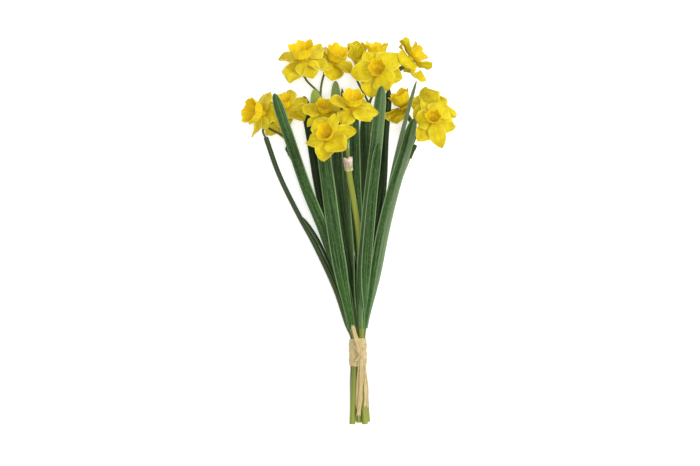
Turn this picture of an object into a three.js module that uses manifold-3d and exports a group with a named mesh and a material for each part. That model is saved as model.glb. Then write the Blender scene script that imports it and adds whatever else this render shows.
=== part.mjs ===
// A tied bunch of cut daffodils, lying on the surface it was put down on. Six flowering
// stems with thirteen strap leaves are held by a wrap of raffia, and carry fifteen blooms.
//
// Millimetres, +Z up. +Y runs from the cut ends to the blooms, and the underside is at z = 0.
import * as THREE from "three";
import { mergeVertices } from "three/addons/utils/BufferGeometryUtils.js";
import Module from "manifold-3d";

const wasm = await Module();
wasm.setup();

// Driving dimensions
const GAP = 0.3; // left between pieces that touch
const STEM_RADIUS = 2.9;
const STEM_TIED_RADIUS = 2.5; // where the raffia squeezes it
const STEM_SIDES = 7;
const PEDICEL_RADIUS = 1.3;
const PEDICEL_SIDES = 5;
const OVARY_RADIUS = 2.4;
const OVARY_LENGTH = 7;
const TUBE_LENGTH = 9; // the floral tube behind the tepals
const TUBE_RADIUS = 1.9;
const THROAT_RADIUS = 4.6;
const THROAT_TOP = 1.2;
const TEPAL_LENGTH = 21.5;
const TEPAL_WIDTH = 21.5;
const TEPAL_THICKNESS = 0.9;
const TEPAL_ROOT = 3; // where a tepal starts, from the bloom's axis
const TEPAL_FOOT = 1.6; // half its width there
const TEPAL_INNER_LIFT = 0.3; // of the three inner tepals, and of the three outer ones
const TEPAL_OUTER_LIFT = -1.6;
const TEPAL_STATIONS = [0, 0.25, 0.62, 1];
const TEPAL_EDGE_RISE = 0.09; // how far its edges turn up, as a share of half its width
const TEPAL_TWIST = 1.3; // how far one edge of its tip rises over the middle
const TEPAL_SWAY = 7; // degrees by which the tepals of a bloom lean unalike
const TEPAL_STRAY = 6; // degrees by which they stray from an even star
const TEPAL_UNEVEN = { length: 0.06, width: 0.12 }; // by which share their sizes differ
const SLIVER = 0.05; // edges shorter than this are merged where tepals cross
const CORONA_HEIGHT = 10.5;
const CORONA_WAIST_HEIGHT = 4;
const CORONA_WAIST_RADIUS = 7;
const CORONA_BASE_RADIUS = 4.2;
const CORONA_RIM_RADIUS = 9;
const CORONA_WALL = 0.9;
const CORONA_SIDES = 12;
const FRILL_OUT = 0.6; // how far the lobes of the rim stand out and up
const FRILL_UP = 0.9;
const LEAF_THICKNESS = 1.1;
const LEAF_TIP_LENGTH = 22; // of the rounded tip
const LEAF_CHANNEL_RADIUS = 13; // of the shallow channel that a leaf is rolled to
const LEAF_FOOT = 5; // the width of the base that clasps its stem
const SPATHE_LENGTH = 12;
const SPATHE_WALL = 0.8;
const SPATHE_SIDES = 7;
const SPATHE_CREASE = 0.25;
const TIE_CENTRE = { x: 358, z: 9.9 };
const TIE_TOP = 340;
const TIE_BOTTOM = 368;
const RAFFIA_THICKNESS = 0.9;
const RAFFIA_PITCH = 4.6; // from one turn of the wrap to the next
const RAFFIA_RIDGE = 0.45; // how far each turn stands out
const STRAND_CROWN = 0.35; // how much higher the middle of a loose strand stands

// Where a stem has a ring of points: at these heights of the layout sheet, below its top.
const STEM_STATIONS = [371, 347, 340.5, 334, 326, 305, 275, 245, 215, 185, 160, 135];

// Places are read off a layout sheet that lies on the surface: x to the right and y down
// from its top left corner, and z the height over it.
const SHEET_MIDDLE = { x: 349.0, y: 231.7 };
const at = (x, y, z) => new THREE.Vector3(x - SHEET_MIDDLE.x, SHEET_MIDDLE.y - y, z);
const degrees = THREE.MathUtils.degToRad;
const mix = THREE.MathUtils.lerp;
const smooth = THREE.MathUtils.smoothstep;

// Materials
const finish = (color, roughness) =>
  new THREE.MeshStandardMaterial({ color, roughness, metalness: 0 });
const petalYellow = finish(0xead21e, 0.6);
const coronaGold = finish(0xeebd28, 0.6);
const leafGreen = finish(0x46703c, 0.55);
const stemGreen = finish(0x8c9a3e, 0.55);
const spathePaper = finish(0xcdb3a0, 0.85);
const raffiaStraw = finish(0xd9c58c, 0.8);

// Five stems stand in a ring round a sixth where the raffia holds them, and spread a
// little where the leaves start. Each has its place in the ring, its cut end, and its way
// up to the head of blooms.
const RING_TIED = 5.35;
const RING_LEAVES = 8.9;
const LEAVES_START = 329;
const LEAVES_CENTRE = { x: 356, z: 14 };
const STEMS = {
  a: {
    ring: 1,
    turn: 126,
    end: [352.3, 426, 13],
    way: [[346.5, 290, 26], [337.5, 235, 35.2], [331, 190, 39], [326, 150, 40], [321.5, 106, 39]],
  },
  b: {
    ring: 1,
    turn: 270,
    end: [360.2, 421.5, 3],
    way: [[357.5, 290, 7.5], [361, 235, 11.5], [364, 190, 15], [367, 150, 18], [368.5, 120, 22]],
  },
  c: {
    ring: 1,
    turn: 198,
    end: [353, 423.5, 5.6],
    way: [[335.8, 290, 13.5], [314, 243, 21], [299.5, 217, 25], [279, 175, 33], [265.5, 137, 40]],
  },
  d: {
    ring: 1,
    turn: 54,
    end: [365.2, 426, 13],
    way: [[360, 290, 26], [359.3, 240, 37], [354.5, 205, 46], [349.5, 176, 56], [348, 159, 61]],
  },
  e: {
    ring: 1,
    turn: 342,
    end: [367.6, 424, 6.2],
    way: [[371, 290, 16], [381, 235, 25], [391, 200, 33], [405, 165, 42], [412, 146, 46]],
  },
  f: {
    ring: 0,
    turn: 0,
    end: [359.2, 424.5, 9.2],
    way: [[344, 290, 17], [327.5, 235, 24.5], [309.5, 190, 30], [293, 155, 34], [289, 147, 35]],
  },
};

// Each bloom: its stem, the middle of its throat, the way it faces, its turn about that
// way, its size, the size of its cup, and how far its tepals lean forwards (+) or back (-) at
// root and tip. Single tepals differ from the rule in degrees added to the lean at root and
// tip and to the azimuth (spin), in millimetres of twist, and in factors on length and width.
const BLOOMS = [
  {
    stem: "a", throat: [303, 60.5, 60], faces: [-0.12, 0.85, 0.5],
    turn: -15, size: 1.12, cup: 1.4, lean: [0, -45],
    tepals: {
      0: { root: 5, tip: 15 },
      1: { root: 10, tip: 40, length: 1.1 },
      2: { spin: 50, tip: -30, width: 0.6, length: 1.3 },
      3: { root: 5, tip: 25 },
      4: { spin: 18, length: 1.15, width: 1.25 },
    },
  },
  {
    stem: "a", throat: [332, 60.5, 36], faces: [0.42, 0.72, 0.55],
    turn: 30, size: 1.08, cup: 1.25, lean: [5, -25],
    tepals: {
      0: { root: 15, tip: 40, spin: 20, length: 0.88 },
      2: { root: 10, tip: 20 },
      4: { tip: -15, length: 0.84 },
    },
  },
  {
    stem: "b", throat: [356, 57, 18.6], faces: [0, 0.97, 0.1],
    turn: 30, size: 0.8, cup: 0.5, lean: [60, 85],
  },
  {
    stem: "b", throat: [377, 58, 33.5], faces: [0, 0.95, 0.25],
    turn: 30, size: 1, cup: 1.25, lean: [-5, -50],
    tepals: {
      0: { root: 15, tip: 70, length: 1.1 },
    },
  },
  {
    stem: "b", throat: [378, 72, 66], faces: [-0.1, 0.3, 0.95],
    turn: 0, size: 1.1, cup: 1, lean: [8, -16],
    tepals: {
      0: { spin: -20, length: 0.93, width: 0.85 },
      1: { spin: -10, width: 1.15 },
      4: { spin: 15 },
      5: { length: 0.9 },
    },
  },
  {
    stem: "b", throat: [411.5, 59, 48], faces: [0.74, 0.66, -0.08],
    turn: 90, size: 1.05, cup: 1.15, lean: [10, -25],
    tepals: {
      0: { root: 10, tip: 30, length: 0.85 },
      1: { root: 5, tip: 30, twist: 3, length: 0.85, width: 0.8 },
      2: { root: -10, tip: -60, length: 0.8 },
      3: { root: -8, tip: 72, width: 0.5, twist: -2.8, length: 1.15, spin: 8 },
      4: { root: -80, tip: 100, width: 0.6, twist: 4, length: 1.16 },
      5: { root: -60, tip: -10, width: 0.8, length: 0.8 },
    },
  },
  {
    stem: "c", throat: [262, 113, 47], faces: [-0.8, 0.17, 0.55],
    turn: 0, size: 1, cup: 1.4, lean: [5, -20],
    tepals: {
      0: { length: 0.8 },
      4: { root: 10, tip: 25, width: 0.5, length: 1.15, spin: 8 },
      5: { spin: -25, tip: -50, length: 0.72 },
    },
  },
  {
    stem: "f", throat: [285, 108, 40], faces: [-0.15, 0.82, 0.55],
    turn: 30, size: 1.05, cup: 1, lean: [-5, -45],
    tepals: {
      0: { root: 15, tip: 40 },
      1: { root: 15, tip: 50 },
      2: { root: 15, tip: 10, length: 0.6 },
      3: { length: 0.42, tip: 20 },
      4: { length: 0.88 },
      5: { root: -5, spin: -8, length: 1.08, width: 1.1 },
    },
  },
  {
    stem: "f", throat: [276, 118, 14], faces: [0.6, 0.35, -0.7],
    turn: 0, size: 0.85, cup: 0.8, lean: [0, -10],
    tepals: {
      3: { tip: 30, length: 0.7 },
      4: { tip: 25, length: 0.8 },
    },
  },
  {
    stem: "d", throat: [324, 113, 66], faces: [0.1, 0.72, 0.68],
    turn: 0, size: 0.95, cup: 0.95, lean: [0, -30],
    tepals: {
      3: { root: 10, tip: 30, length: 0.9 },
      4: { spin: -20, width: 0.55 },
    },
  },
  {
    stem: "d", throat: [353, 108, 88.5], faces: [0.05, 0.8, 0.6],
    turn: 0, size: 1.1, cup: 1.2, lean: [0, -35],
    tepals: {
      0: { tip: 10, width: 1.15, spin: -6 },
      3: { root: 15, tip: 55 },
      4: { length: 0.85 },
      5: { spin: 14 },
    },
  },
  {
    stem: "d", throat: [329, 138, 105.5], faces: [-0.35, 0.4, 0.84],
    turn: 8, size: 1.14, cup: 1.05, lean: [10, -14],
    tepals: {
      0: { spin: 8, width: 0.72 },
      1: { width: 0.6, twist: 3, length: 0.88 },
      3: { width: 0.65, length: 0.92 },
      4: { width: 0.85, spin: 20 },
      5: { length: 0.85 },
    },
  },
  {
    stem: "e", throat: [404.5, 105.5, 19.4], faces: [-0.4, 0.88, 0.22],
    turn: 30, size: 1.02, cup: 1.25, lean: [0, -40],
    tepals: {
      0: { root: 15, tip: 45 },
      1: { tip: 30, length: 0.85 },
      2: { tip: 20, length: 0.75, width: 0.75, spin: -22 },
      3: { length: 0.85 },
      5: { root: 10, tip: 40 },
    },
  },
  {
    stem: "e", throat: [433, 107, 47], faces: [0.1, 0.6, -0.75],
    turn: 0, size: 1.02, cup: 0.8, lean: [5, -10],
    tepals: {
      0: { width: 0.7, length: 1.08 },
      4: { spin: -8, length: 1.12 },
      5: { length: 0.62 },
    },
  },
  {
    stem: "e", throat: [432.5, 121, 86], faces: [0, 0.35, 0.93],
    turn: -5, size: 1.08, cup: 0.85, lean: [0, -22],
    tepals: {
      0: { length: 0.85, spin: 6, width: 0.85 },
      1: { length: 0.85 },
      2: { width: 0.6, twist: 4 },
      3: { length: 0.58 },
      4: { width: 0.8, spin: 8, length: 1.06 },
      5: { width: 0.68, length: 1.12, spin: -14 },
    },
  },
];

// Each leaf: its stem, the way its outer face looks at the base, the middle and the tip, in
// degrees from straight up towards +X, its width, and its way up from its base.
const LEAVES = [
  {
    stem: "c",
    looks: [40, 70, 60],
    width: 6,
    way: [[340, 290, 13.8], [328.5, 262, 19.3], [319.5, 243, 24], [310, 228, 26.5], [302, 217, 28.5]],
  },
  {
    stem: "a",
    looks: [-95, -28, -10],
    width: 12.5,
    way: [[339.9, 290, 21.5], [324.5, 235, 32.7], [305.5, 187, 47], [289.5, 140, 61], [274.5, 94, 70]],
  },
  {
    stem: "a",
    looks: [5, -8, 0],
    width: 15,
    foot: 7,
    way: [[344, 290, 31], [334.5, 235, 41.2], [327, 180, 45.5], [319.5, 125, 46.5], [314.5, 89, 47.5]],
  },
  {
    stem: "f",
    looks: [205, 170, 170],
    width: 11.5,
    way: [[347, 290, 11.3], [332.5, 235, 17.5], [321, 190, 22], [310.5, 130, 23], [303.5, 95, 20]],
  },
  {
    stem: "a",
    looks: [108, 0, 0],
    width: 10.5,
    way: [[351.5, 290, 22], [343.5, 235, 27], [338.5, 190, 31], [336, 125, 32], [335.5, 80, 30]],
  },
  {
    stem: "d",
    looks: [-122, -50, -45],
    width: 9,
    way: [[354.5, 290, 27], [350, 240, 36], [347.3, 205, 39], [345, 150, 42], [342, 88, 45]],
  },
  {
    stem: "e",
    looks: [-72, 0, 5],
    width: 12,
    way: [[364.5, 290, 17.8], [358, 235, 24.5], [355.8, 190, 29], [354.5, 140, 33], [353.5, 100, 35]],
  },
  {
    stem: "b",
    looks: [55, 0, 0],
    width: 11,
    way: [[358.5, 290, 12.3], [364, 235, 17], [366, 190, 21.5], [365.2, 145, 26], [365, 112, 29]],
  },
  {
    stem: "d",
    looks: [-26, 6, -2],
    width: 14,
    foot: 6.5,
    way: [[361, 290, 31], [366.5, 235, 45], [371, 190, 56], [377.5, 130, 68], [381.5, 87, 80.5]],
  },
  {
    stem: "d",
    looks: [82, 15, 10],
    width: 11,
    way: [[365.6, 290, 35.4], [368, 245, 48], [372, 200, 60], [376, 165, 68], [378.5, 143, 73]],
  },
  {
    stem: "b",
    looks: [135, 10, 0],
    width: 9.5,
    way: [[366, 290, 8], [375, 235, 12.5], [382, 190, 16.5], [385.5, 130, 13], [389.5, 87, 5.5]],
  },
  {
    stem: "e",
    looks: [35, 20, 15],
    width: 14,
    foot: 6,
    way: [[373.5, 290, 20.5], [383, 235, 33], [394, 190, 44], [406, 150, 54], [414, 119, 61]],
  },
  {
    stem: "e",
    looks: [175, 130, 120],
    width: 9,
    way: [[372, 290, 11], [384, 235, 19], [390.6, 190, 27], [402, 136, 48], [416.5, 81, 64]],
  },
];

// The knot on top of the wrap: a lump, and its loose ends, each with its width at the lump
// and at its end.
const KNOT = {
  middle: [361, 356, 21.2],
  halfSizes: [3.9, 4.4, 2],
  ends: [
    {
      width: [3.4, 2.6],
      way: [[360.5, 357, 21], [358.8, 375, 18], [357.6, 393, 16.4], [357.4, 410, 16]],
    },
    {
      width: [3.8, 4.2],
      way: [[361.5, 357, 21.4], [361.6, 378, 20.2], [360.6, 398, 18.6], [358.6, 417, 17.6]],
    },
    {
      width: [3.6, 5.6],
      way: [[362.5, 357, 21], [365, 375, 19], [366.4, 392, 17.4], [366.8, 408, 17.2]],
    },
    {
      width: [5.6, 3.8],
      way: [[361, 356, 21], [358.6, 346, 21.6], [355.4, 336, 25], [352.6, 326, 28]],
    },
  ],
};

// A three.js geometry as a solid, facing out.
function solidOf(geometry) {
  const plain = geometry.index ? geometry.toNonIndexed() : geometry.clone();
  plain.deleteAttribute("normal");
  plain.deleteAttribute("uv");
  const merged = mergeVertices(plain, 1e-4);
  const mesh = (triVerts) =>
    new wasm.Mesh({ numProp: 3, vertProperties: merged.attributes.position.array, triVerts });
  const solid = new wasm.Manifold(mesh(new Uint32Array(merged.index.array)));
  if (solid.volume() > 0) return solid;
  return new wasm.Manifold(mesh(new Uint32Array(merged.index.array).reverse()));
}

function geometryOf(solid) {
  const mesh = solid.getMesh();
  const geometry = new THREE.BufferGeometry();
  geometry.setAttribute("position", new THREE.BufferAttribute(mesh.vertProperties, 3));
  geometry.setIndex(new THREE.BufferAttribute(mesh.triVerts, 1));
  geometry.computeVertexNormals();
  return geometry;
}

// The closed body through rings of points. A ring's second half runs back beside its
// first, so that each end is closed by a strip between the two, and both faces of a thin
// blade are split alike. Where the last ring is the first, the body runs round in a circle.
function loft(rings) {
  const count = rings[0].length;
  const endless = rings[0] === rings[rings.length - 1];
  const index = [];
  for (let i = 0; i + 1 < rings.length; i++)
    for (let j = 0; j < count; j++) {
      const [a, b] = [i * count + j, i * count + ((j + 1) % count)];
      if (j < count / 2) index.push(a, b, b + count, a, b + count, a + count);
      else index.push(a, b, a + count, b, b + count, a + count);
    }
  const last = (rings.length - 1) * count;
  for (let j = 0; j + 1 < count / 2 && !endless; j++) {
    const [a, b, c, d] = [j, j + 1, count - 2 - j, count - 1 - j];
    index.push(a, c, b, a, d, c);
    index.push(last + a, last + b, last + c, last + a, last + c, last + d);
  }
  const geometry = new THREE.BufferGeometry();
  const points = rings.flat().flatMap((p) => p.toArray());
  geometry.setAttribute("position", new THREE.Float32BufferAttribute(points, 3));
  geometry.setIndex(index);
  return solidOf(geometry);
}

// A round stem through places along its middle, each with its direction and radius.
function roundStem(places, sides) {
  const side = new THREE.Vector3().crossVectors(places[0].along, new THREE.Vector3(0, 0, 1));
  return loft(
    places.map(({ centre, along, radius }) => {
      side.addScaledVector(along, -side.dot(along)).normalize();
      const other = new THREE.Vector3().crossVectors(along, side);
      return Array.from({ length: sides }, (_, j) => {
        const angle = (2 * Math.PI * j) / sides;
        return centre
          .clone()
          .addScaledVector(side, radius * Math.cos(angle))
          .addScaledVector(other, radius * Math.sin(angle));
      });
    }),
  );
}

// The way that an outer face looks, in degrees from straight up towards +X.
const look = (angle) => new THREE.Vector3(Math.sin(degrees(angle)), 0, Math.cos(degrees(angle)));

// Where a stem stands in the ring at a given radius.
const ringPlace = (centre, radius, turn) => [
  centre.x + radius * Math.cos(degrees(turn)),
  centre.z + radius * Math.sin(degrees(turn)),
];

function stemCurve({ ring, turn, end, way }) {
  const [tiedX, tiedZ] = ringPlace(TIE_CENTRE, ring * RING_TIED, turn);
  const [leavesX, leavesZ] = ringPlace(LEAVES_CENTRE, ring * RING_LEAVES, turn);
  return new THREE.CatmullRomCurve3([
    at(...end),
    at(tiedX, TIE_BOTTOM + 1, tiedZ),
    at(tiedX, TIE_TOP + 6, tiedZ),
    at(tiedX, TIE_TOP - 1.5, tiedZ),
    at(leavesX, LEAVES_START - 4, leavesZ),
    ...way.map((p) => at(...p)),
  ]);
}

// How far along a curve a given height of the sheet is reached, by halving.
function shareAtY(curve, sheetY) {
  let [low, high] = [0, 1];
  for (let i = 0; i < 40; i++) {
    const middle = (low + high) / 2;
    if (SHEET_MIDDLE.y - curve.getPoint(middle).y > sheetY) low = middle;
    else high = middle;
  }
  return low;
}

// The turn that carries +Z to the way a bloom faces, after its own turn about +Z.
function bloomPlace({ throat, faces, turn }) {
  const up = new THREE.Vector3(0, 0, 1);
  const facing = new THREE.Vector3(...faces).normalize();
  const turned = new THREE.Quaternion().setFromAxisAngle(up, degrees(turn));
  const rotation = new THREE.Quaternion().setFromUnitVectors(up, facing).multiply(turned);
  return { position: at(...throat), rotation, facing };
}

// A stem with the pedicels and ovaries of its blooms.
function stemSolid(name) {
  const curve = stemCurve(STEMS[name]);
  const top = curve.getPoint(1);
  const upwards = curve.getTangent(1);
  const topY = SHEET_MIDDLE.y - top.y;
  const stations = STEM_STATIONS.filter((y) => y > topY + 8);
  const shares = [0, ...[...stations, topY + 2].map((y) => shareAtY(curve, y)), 1];
  const scape = shares.map((t) => {
    const centre = curve.getPoint(t);
    const fromTie = Math.abs(SHEET_MIDDLE.y - centre.y - (TIE_TOP + TIE_BOTTOM) / 2);
    const radius = mix(STEM_TIED_RADIUS, STEM_RADIUS, smooth(fromTie, 15, 30));
    return { centre, along: curve.getTangent(t), radius: t === 1 ? 0.8 * radius : radius };
  });
  return BLOOMS.filter((bloom) => bloom.stem === name).reduce((stem, bloom) => {
    const { position, facing } = bloomPlace(bloom);
    const neck = position.clone().addScaledVector(facing, -TUBE_LENGTH * bloom.size - GAP);
    const below = neck.clone().addScaledVector(facing, -OVARY_LENGTH - 4);
    const start = top.clone().addScaledVector(upwards, -3);
    const middle = start.clone().addScaledVector(upwards, 3 + 0.3 * start.distanceTo(below));
    const way = new THREE.CatmullRomCurve3([start, middle, below, neck]);
    const ovary = OVARY_LENGTH / way.getLength();
    const pedicel = [
      [0, PEDICEL_RADIUS],
      [0.25, PEDICEL_RADIUS],
      [0.55, PEDICEL_RADIUS],
      [1 - 1.3 * ovary, PEDICEL_RADIUS],
      [1 - 0.85 * ovary, OVARY_RADIUS],
      [1 - 0.35 * ovary, OVARY_RADIUS],
      [1, TUBE_RADIUS],
    ];
    const places = pedicel.map(([u, radius]) => {
      return { centre: way.getPointAt(u), along: way.getTangentAt(u), radius };
    });
    return stem.add(roundStem(places, PEDICEL_SIDES));
  }, roundStem(scape, STEM_SIDES));
}

// The papery sheath at the top of a stem, open at both ends.
function spatheSolid(name) {
  const curve = stemCurve(STEMS[name]);
  const length = curve.getLength();
  const top = curve.getPointAt(1);
  const upwards = curve.getTangentAt(1);
  const sheath = (radius, crease, from, to) =>
    loft(
      [from, (from + to) / 2, to].map((back, i) => {
        const u = 1 - Math.max(0, back) / length;
        const centre = back < 0 ? top.clone().addScaledVector(upwards, -back) : curve.getPointAt(u);
        const along = curve.getTangentAt(u);
        const side = new THREE.Vector3().crossVectors(along, look(0)).normalize();
        const out = new THREE.Vector3().crossVectors(side, along);
        return Array.from({ length: SPATHE_SIDES }, (_, j) => {
          const angle = (2 * Math.PI * j) / SPATHE_SIDES;
          const r = radius + crease * Math.sin(3 * angle + 2 * i);
          return centre
            .clone()
            .addScaledVector(side, r * Math.cos(angle))
            .addScaledVector(out, r * Math.sin(angle));
        });
      }),
    );
  const inner = STEM_RADIUS + 1.5 * GAP;
  const outer = sheath(inner + SPATHE_WALL + SPATHE_CREASE, SPATHE_CREASE, SPATHE_LENGTH, -1);
  return outer.subtract(sheath(inner, 0, SPATHE_LENGTH + 1, -2));
}

// A strap leaf: a ribbon rolled to a shallow channel, whose base clasps its stem.
function leafSolid({ stem, looks, width, foot = LEAF_FOOT, way }) {
  const clasp = STEM_RADIUS + GAP + 0.25 + LEAF_THICKNESS / 2;
  const stemWay = stemCurve(STEMS[stem]);
  const base = (sheetY, lift) =>
    stemWay.getPoint(shareAtY(stemWay, sheetY)).addScaledVector(look(looks[0]), clasp + lift);
  const curve = new THREE.CatmullRomCurve3([
    base(LEAVES_START, 0),
    base(LEAVES_START - 12, 0.4),
    ...way.map((p) => at(...p)),
  ]);
  const length = curve.getLength();
  const tipShares = [1, 0.45, 0.12, 0].map((k) => 1 - (k * LEAF_TIP_LENGTH) / length);
  const shares = [0, 0.05, 0.11, 0.18, 0.26, 0.36, 0.48, 0.61, 0.75, ...tipShares];
  const across = [-1, -0.5, 0, 0.5, 1];
  return loft(
    shares.map((u) => {
      const centre = curve.getPointAt(u);
      const along = curve.getTangentAt(u);
      const lower = mix(looks[0], looks[1], smooth(u, 0.02, 0.4));
      const angle = u < 0.4 ? lower : mix(looks[1], looks[2], (u - 0.4) / 0.6);
      const side = new THREE.Vector3().crossVectors(along, look(angle)).normalize();
      const out = new THREE.Vector3().crossVectors(side, along);
      const opened = smooth(u, 0.02, 0.3);
      const roll = mix(clasp, LEAF_CHANNEL_RADIUS, opened);
      const intoTip = Math.max(0, 1 - ((1 - u) * length) / LEAF_TIP_LENGTH);
      const rounding = Math.sqrt(Math.max(0.01, 1 - intoTip ** 2)) * mix(1, 0.88, smooth(u, 0.5, 1));
      const half = (mix(foot, width, smooth(u, 0, 0.3)) * rounding) / 2;
      const thickness = (v) => LEAF_THICKNESS * (1 - 0.35 * v * v);
      const point = (v, face) => {
        const bend = (v * half) / roll;
        const radius = roll + (face * thickness(v)) / 2;
        return centre
          .clone()
          .addScaledVector(side, radius * Math.sin(bend))
          .addScaledVector(out, radius * Math.cos(bend) - roll);
      };
      return [...across.map((v) => point(v, 1)), ...across.map((v) => point(-v, -1))];
    }),
  );
}

// One tepal about +Z: an ovate blade that leans forwards or back, with a twist along it.
function tepalSolid({ azimuth, lift, root, tip, twist, length, width }) {
  const up = new THREE.Vector3(0, 0, 1);
  const spin = new THREE.Quaternion().setFromAxisAngle(up, degrees(azimuth));
  return loft(
    TEPAL_STATIONS.map((s) => {
      const slope = mix(root, tip, s);
      const reach = TEPAL_ROOT + (length * (Math.sin(slope) - Math.sin(root))) / (tip - root);
      const height = lift + (length * (Math.cos(root) - Math.cos(slope))) / (tip - root);
      const ovate = Math.max(0, Math.sin(Math.PI * s ** 0.85)) ** 0.66;
      const half = s === 0 ? TEPAL_FOOT : Math.max(0.6, (width / 2) * ovate);
      const point = (v, face) => {
        const rise = (TEPAL_THICKNESS / 2) * face + TEPAL_EDGE_RISE * half * v * v + twist * s * v;
        return new THREE.Vector3(
          reach - Math.sin(slope) * rise,
          half * v,
          height + Math.cos(slope) * rise,
        ).applyQuaternion(spin);
      };
      return [...[-1, 0, 1].map((v) => point(v, 1)), ...[1, 0, -1].map((v) => point(v, -1))];
    }),
  );
}

// Six tepals in two layers, grown together with the floral tube.
function perianthSolid({ lean, size, tepals = {} }, number) {
  const tube = solidOf(
    new THREE.LatheGeometry(
      [
        new THREE.Vector2(0, -TUBE_LENGTH * size),
        new THREE.Vector2(TUBE_RADIUS, -TUBE_LENGTH * size),
        new THREE.Vector2(THROAT_RADIUS, -2.4),
        new THREE.Vector2(THROAT_RADIUS, THROAT_TOP),
        new THREE.Vector2(0, THROAT_TOP),
      ],
      7,
    ).rotateX(Math.PI / 2),
  );
  return Array.from({ length: 6 }, (_, k) => k).reduce((flower, k) => {
    const inner = k % 2;
    const sway = TEPAL_SWAY * Math.sin(number * 2.1 + k * 2.4);
    const stray = TEPAL_STRAY * Math.sin(number * 1.7 + k * 2.9);
    const longer = 1 + TEPAL_UNEVEN.length * Math.sin(number * 2.3 + k * 4.1);
    const wider = 1 + TEPAL_UNEVEN.width * Math.sin(number * 3.7 + k * 1.3);
    const change = { root: 0, tip: 0, spin: 0, twist: 0, length: 1, width: 1, ...tepals[k] };
    const tepal = {
      azimuth: 60 * k + stray + change.spin,
      lift: inner ? TEPAL_INNER_LIFT : TEPAL_OUTER_LIFT,
      root: degrees(lean[0] + (inner ? 4 : -4) + 0.3 * sway + change.root),
      tip: degrees(lean[1] + sway + change.tip),
      twist: TEPAL_TWIST * Math.sin(number * 1.3 + k * 1.9) + change.twist,
      length: TEPAL_LENGTH * size * longer * change.length,
      width: TEPAL_WIDTH * size * wider * change.width,
    };
    return flower.add(tepalSolid(tepal));
  }, tube).simplify(SLIVER);
}

// The cup: a thin wall that flares to a frilled rim, with a closed floor.
function coronaSolid({ cup: size }, number) {
  const floor = THROAT_TOP + GAP;
  const ring = (radius, height, frill) =>
    Array.from({ length: CORONA_SIDES }, (_, j) => {
      const angle = (2 * Math.PI * j) / CORONA_SIDES;
      const lobe = frill * (j % 2 ? -1 : 1);
      const sway = frill * Math.sin(2 * angle + number);
      const r = size * radius * (1 + 0.06 * sway) + FRILL_OUT * lobe;
      const z = height + FRILL_UP * lobe + 0.6 * sway;
      return new THREE.Vector3(r * Math.cos(angle), r * Math.sin(angle), z);
    });
  const base = CORONA_BASE_RADIUS / Math.max(1, size);
  const top = floor + CORONA_HEIGHT * size;
  const waist = floor + CORONA_WAIST_HEIGHT * size;
  return loft([
    ring(base, floor, 0),
    ring(CORONA_WAIST_RADIUS, waist, 0),
    ring(CORONA_RIM_RADIUS, top, 1),
    ring(CORONA_RIM_RADIUS - CORONA_WALL, top, 1),
    ring(CORONA_WAIST_RADIUS - CORONA_WALL, waist, 0),
    ring(base - CORONA_WALL, floor + CORONA_WALL, 0),
  ]);
}

// The turns of raffia round the stems: a sleeve with a ridge for each turn. It follows the
// five outer stems round, and each ring of points is its wall, cut along the stems.
function wrapSolid() {
  const steps = Math.round((2 * (TIE_BOTTOM - TIE_TOP)) / RAFFIA_PITCH);
  const turns = Object.values(STEMS).filter((stem) => stem.ring).map((stem) => stem.turn);
  const rings = turns.sort((p, q) => p - q).flatMap((turn) => {
    const [x, z] = ringPlace(TIE_CENTRE, RING_TIED, turn);
    return [-36, -12, 12, 36].map((step) => {
      const angle = degrees(turn + step);
      const place = (sheetY, outside) => {
        const radius = STEM_TIED_RADIUS + outside;
        return at(x + radius * Math.cos(angle), sheetY, z + radius * Math.sin(angle));
      };
      const outer = Array.from({ length: steps + 1 }, (_, i) => {
        const sheetY = mix(TIE_TOP, TIE_BOTTOM, i / steps);
        const turned = (sheetY - TIE_TOP) / RAFFIA_PITCH + angle / (2 * Math.PI);
        const ridge = i === 0 || i === steps ? 0 : RAFFIA_RIDGE * Math.abs(Math.sin(Math.PI * turned));
        return place(sheetY, GAP + RAFFIA_THICKNESS + ridge);
      });
      return [...outer, place(TIE_BOTTOM, GAP), place(TIE_TOP, GAP)];
    });
  });
  return loft([...rings, rings[0]]);
}

// A flat strand of raffia through the given places.
function strandSolid({ width, way }) {
  const curve = new THREE.CatmullRomCurve3(way.map((p) => at(...p)));
  return loft(
    [0, 0.2, 0.4, 0.6, 0.8, 1].map((u) => {
      const centre = curve.getPointAt(u);
      const along = curve.getTangentAt(u);
      const side = new THREE.Vector3().crossVectors(along, look(0)).normalize();
      const out = new THREE.Vector3().crossVectors(side, along);
      const half = mix(width[0], width[1], u) / 2;
      const point = (v, face) =>
        centre
          .clone()
          .addScaledVector(side, v * half)
          .addScaledVector(out, (face * RAFFIA_THICKNESS) / 2 + STRAND_CROWN * (1 - v * v));
      return [...[-1, 0, 1].map((v) => point(v, 1)), ...[1, 0, -1].map((v) => point(v, -1))];
    }),
  );
}

// The knot with its four loose ends.
function knotSolid() {
  const middle = at(...KNOT.middle);
  const lump = new THREE.SphereGeometry(1, 8, 6).scale(...KNOT.halfSizes).translate(...middle);
  return KNOT.ends.reduce((knot, strand) => knot.add(strandSolid(strand)), solidOf(lump));
}

const bunch = new THREE.Group();
function addPiece(name, solid, material) {
  const mesh = new THREE.Mesh(geometryOf(solid), material);
  mesh.name = name;
  bunch.add(mesh);
  return mesh;
}
const numbered = (name, index) => `${name}_${String(index + 1).padStart(2, "0")}`;

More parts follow.
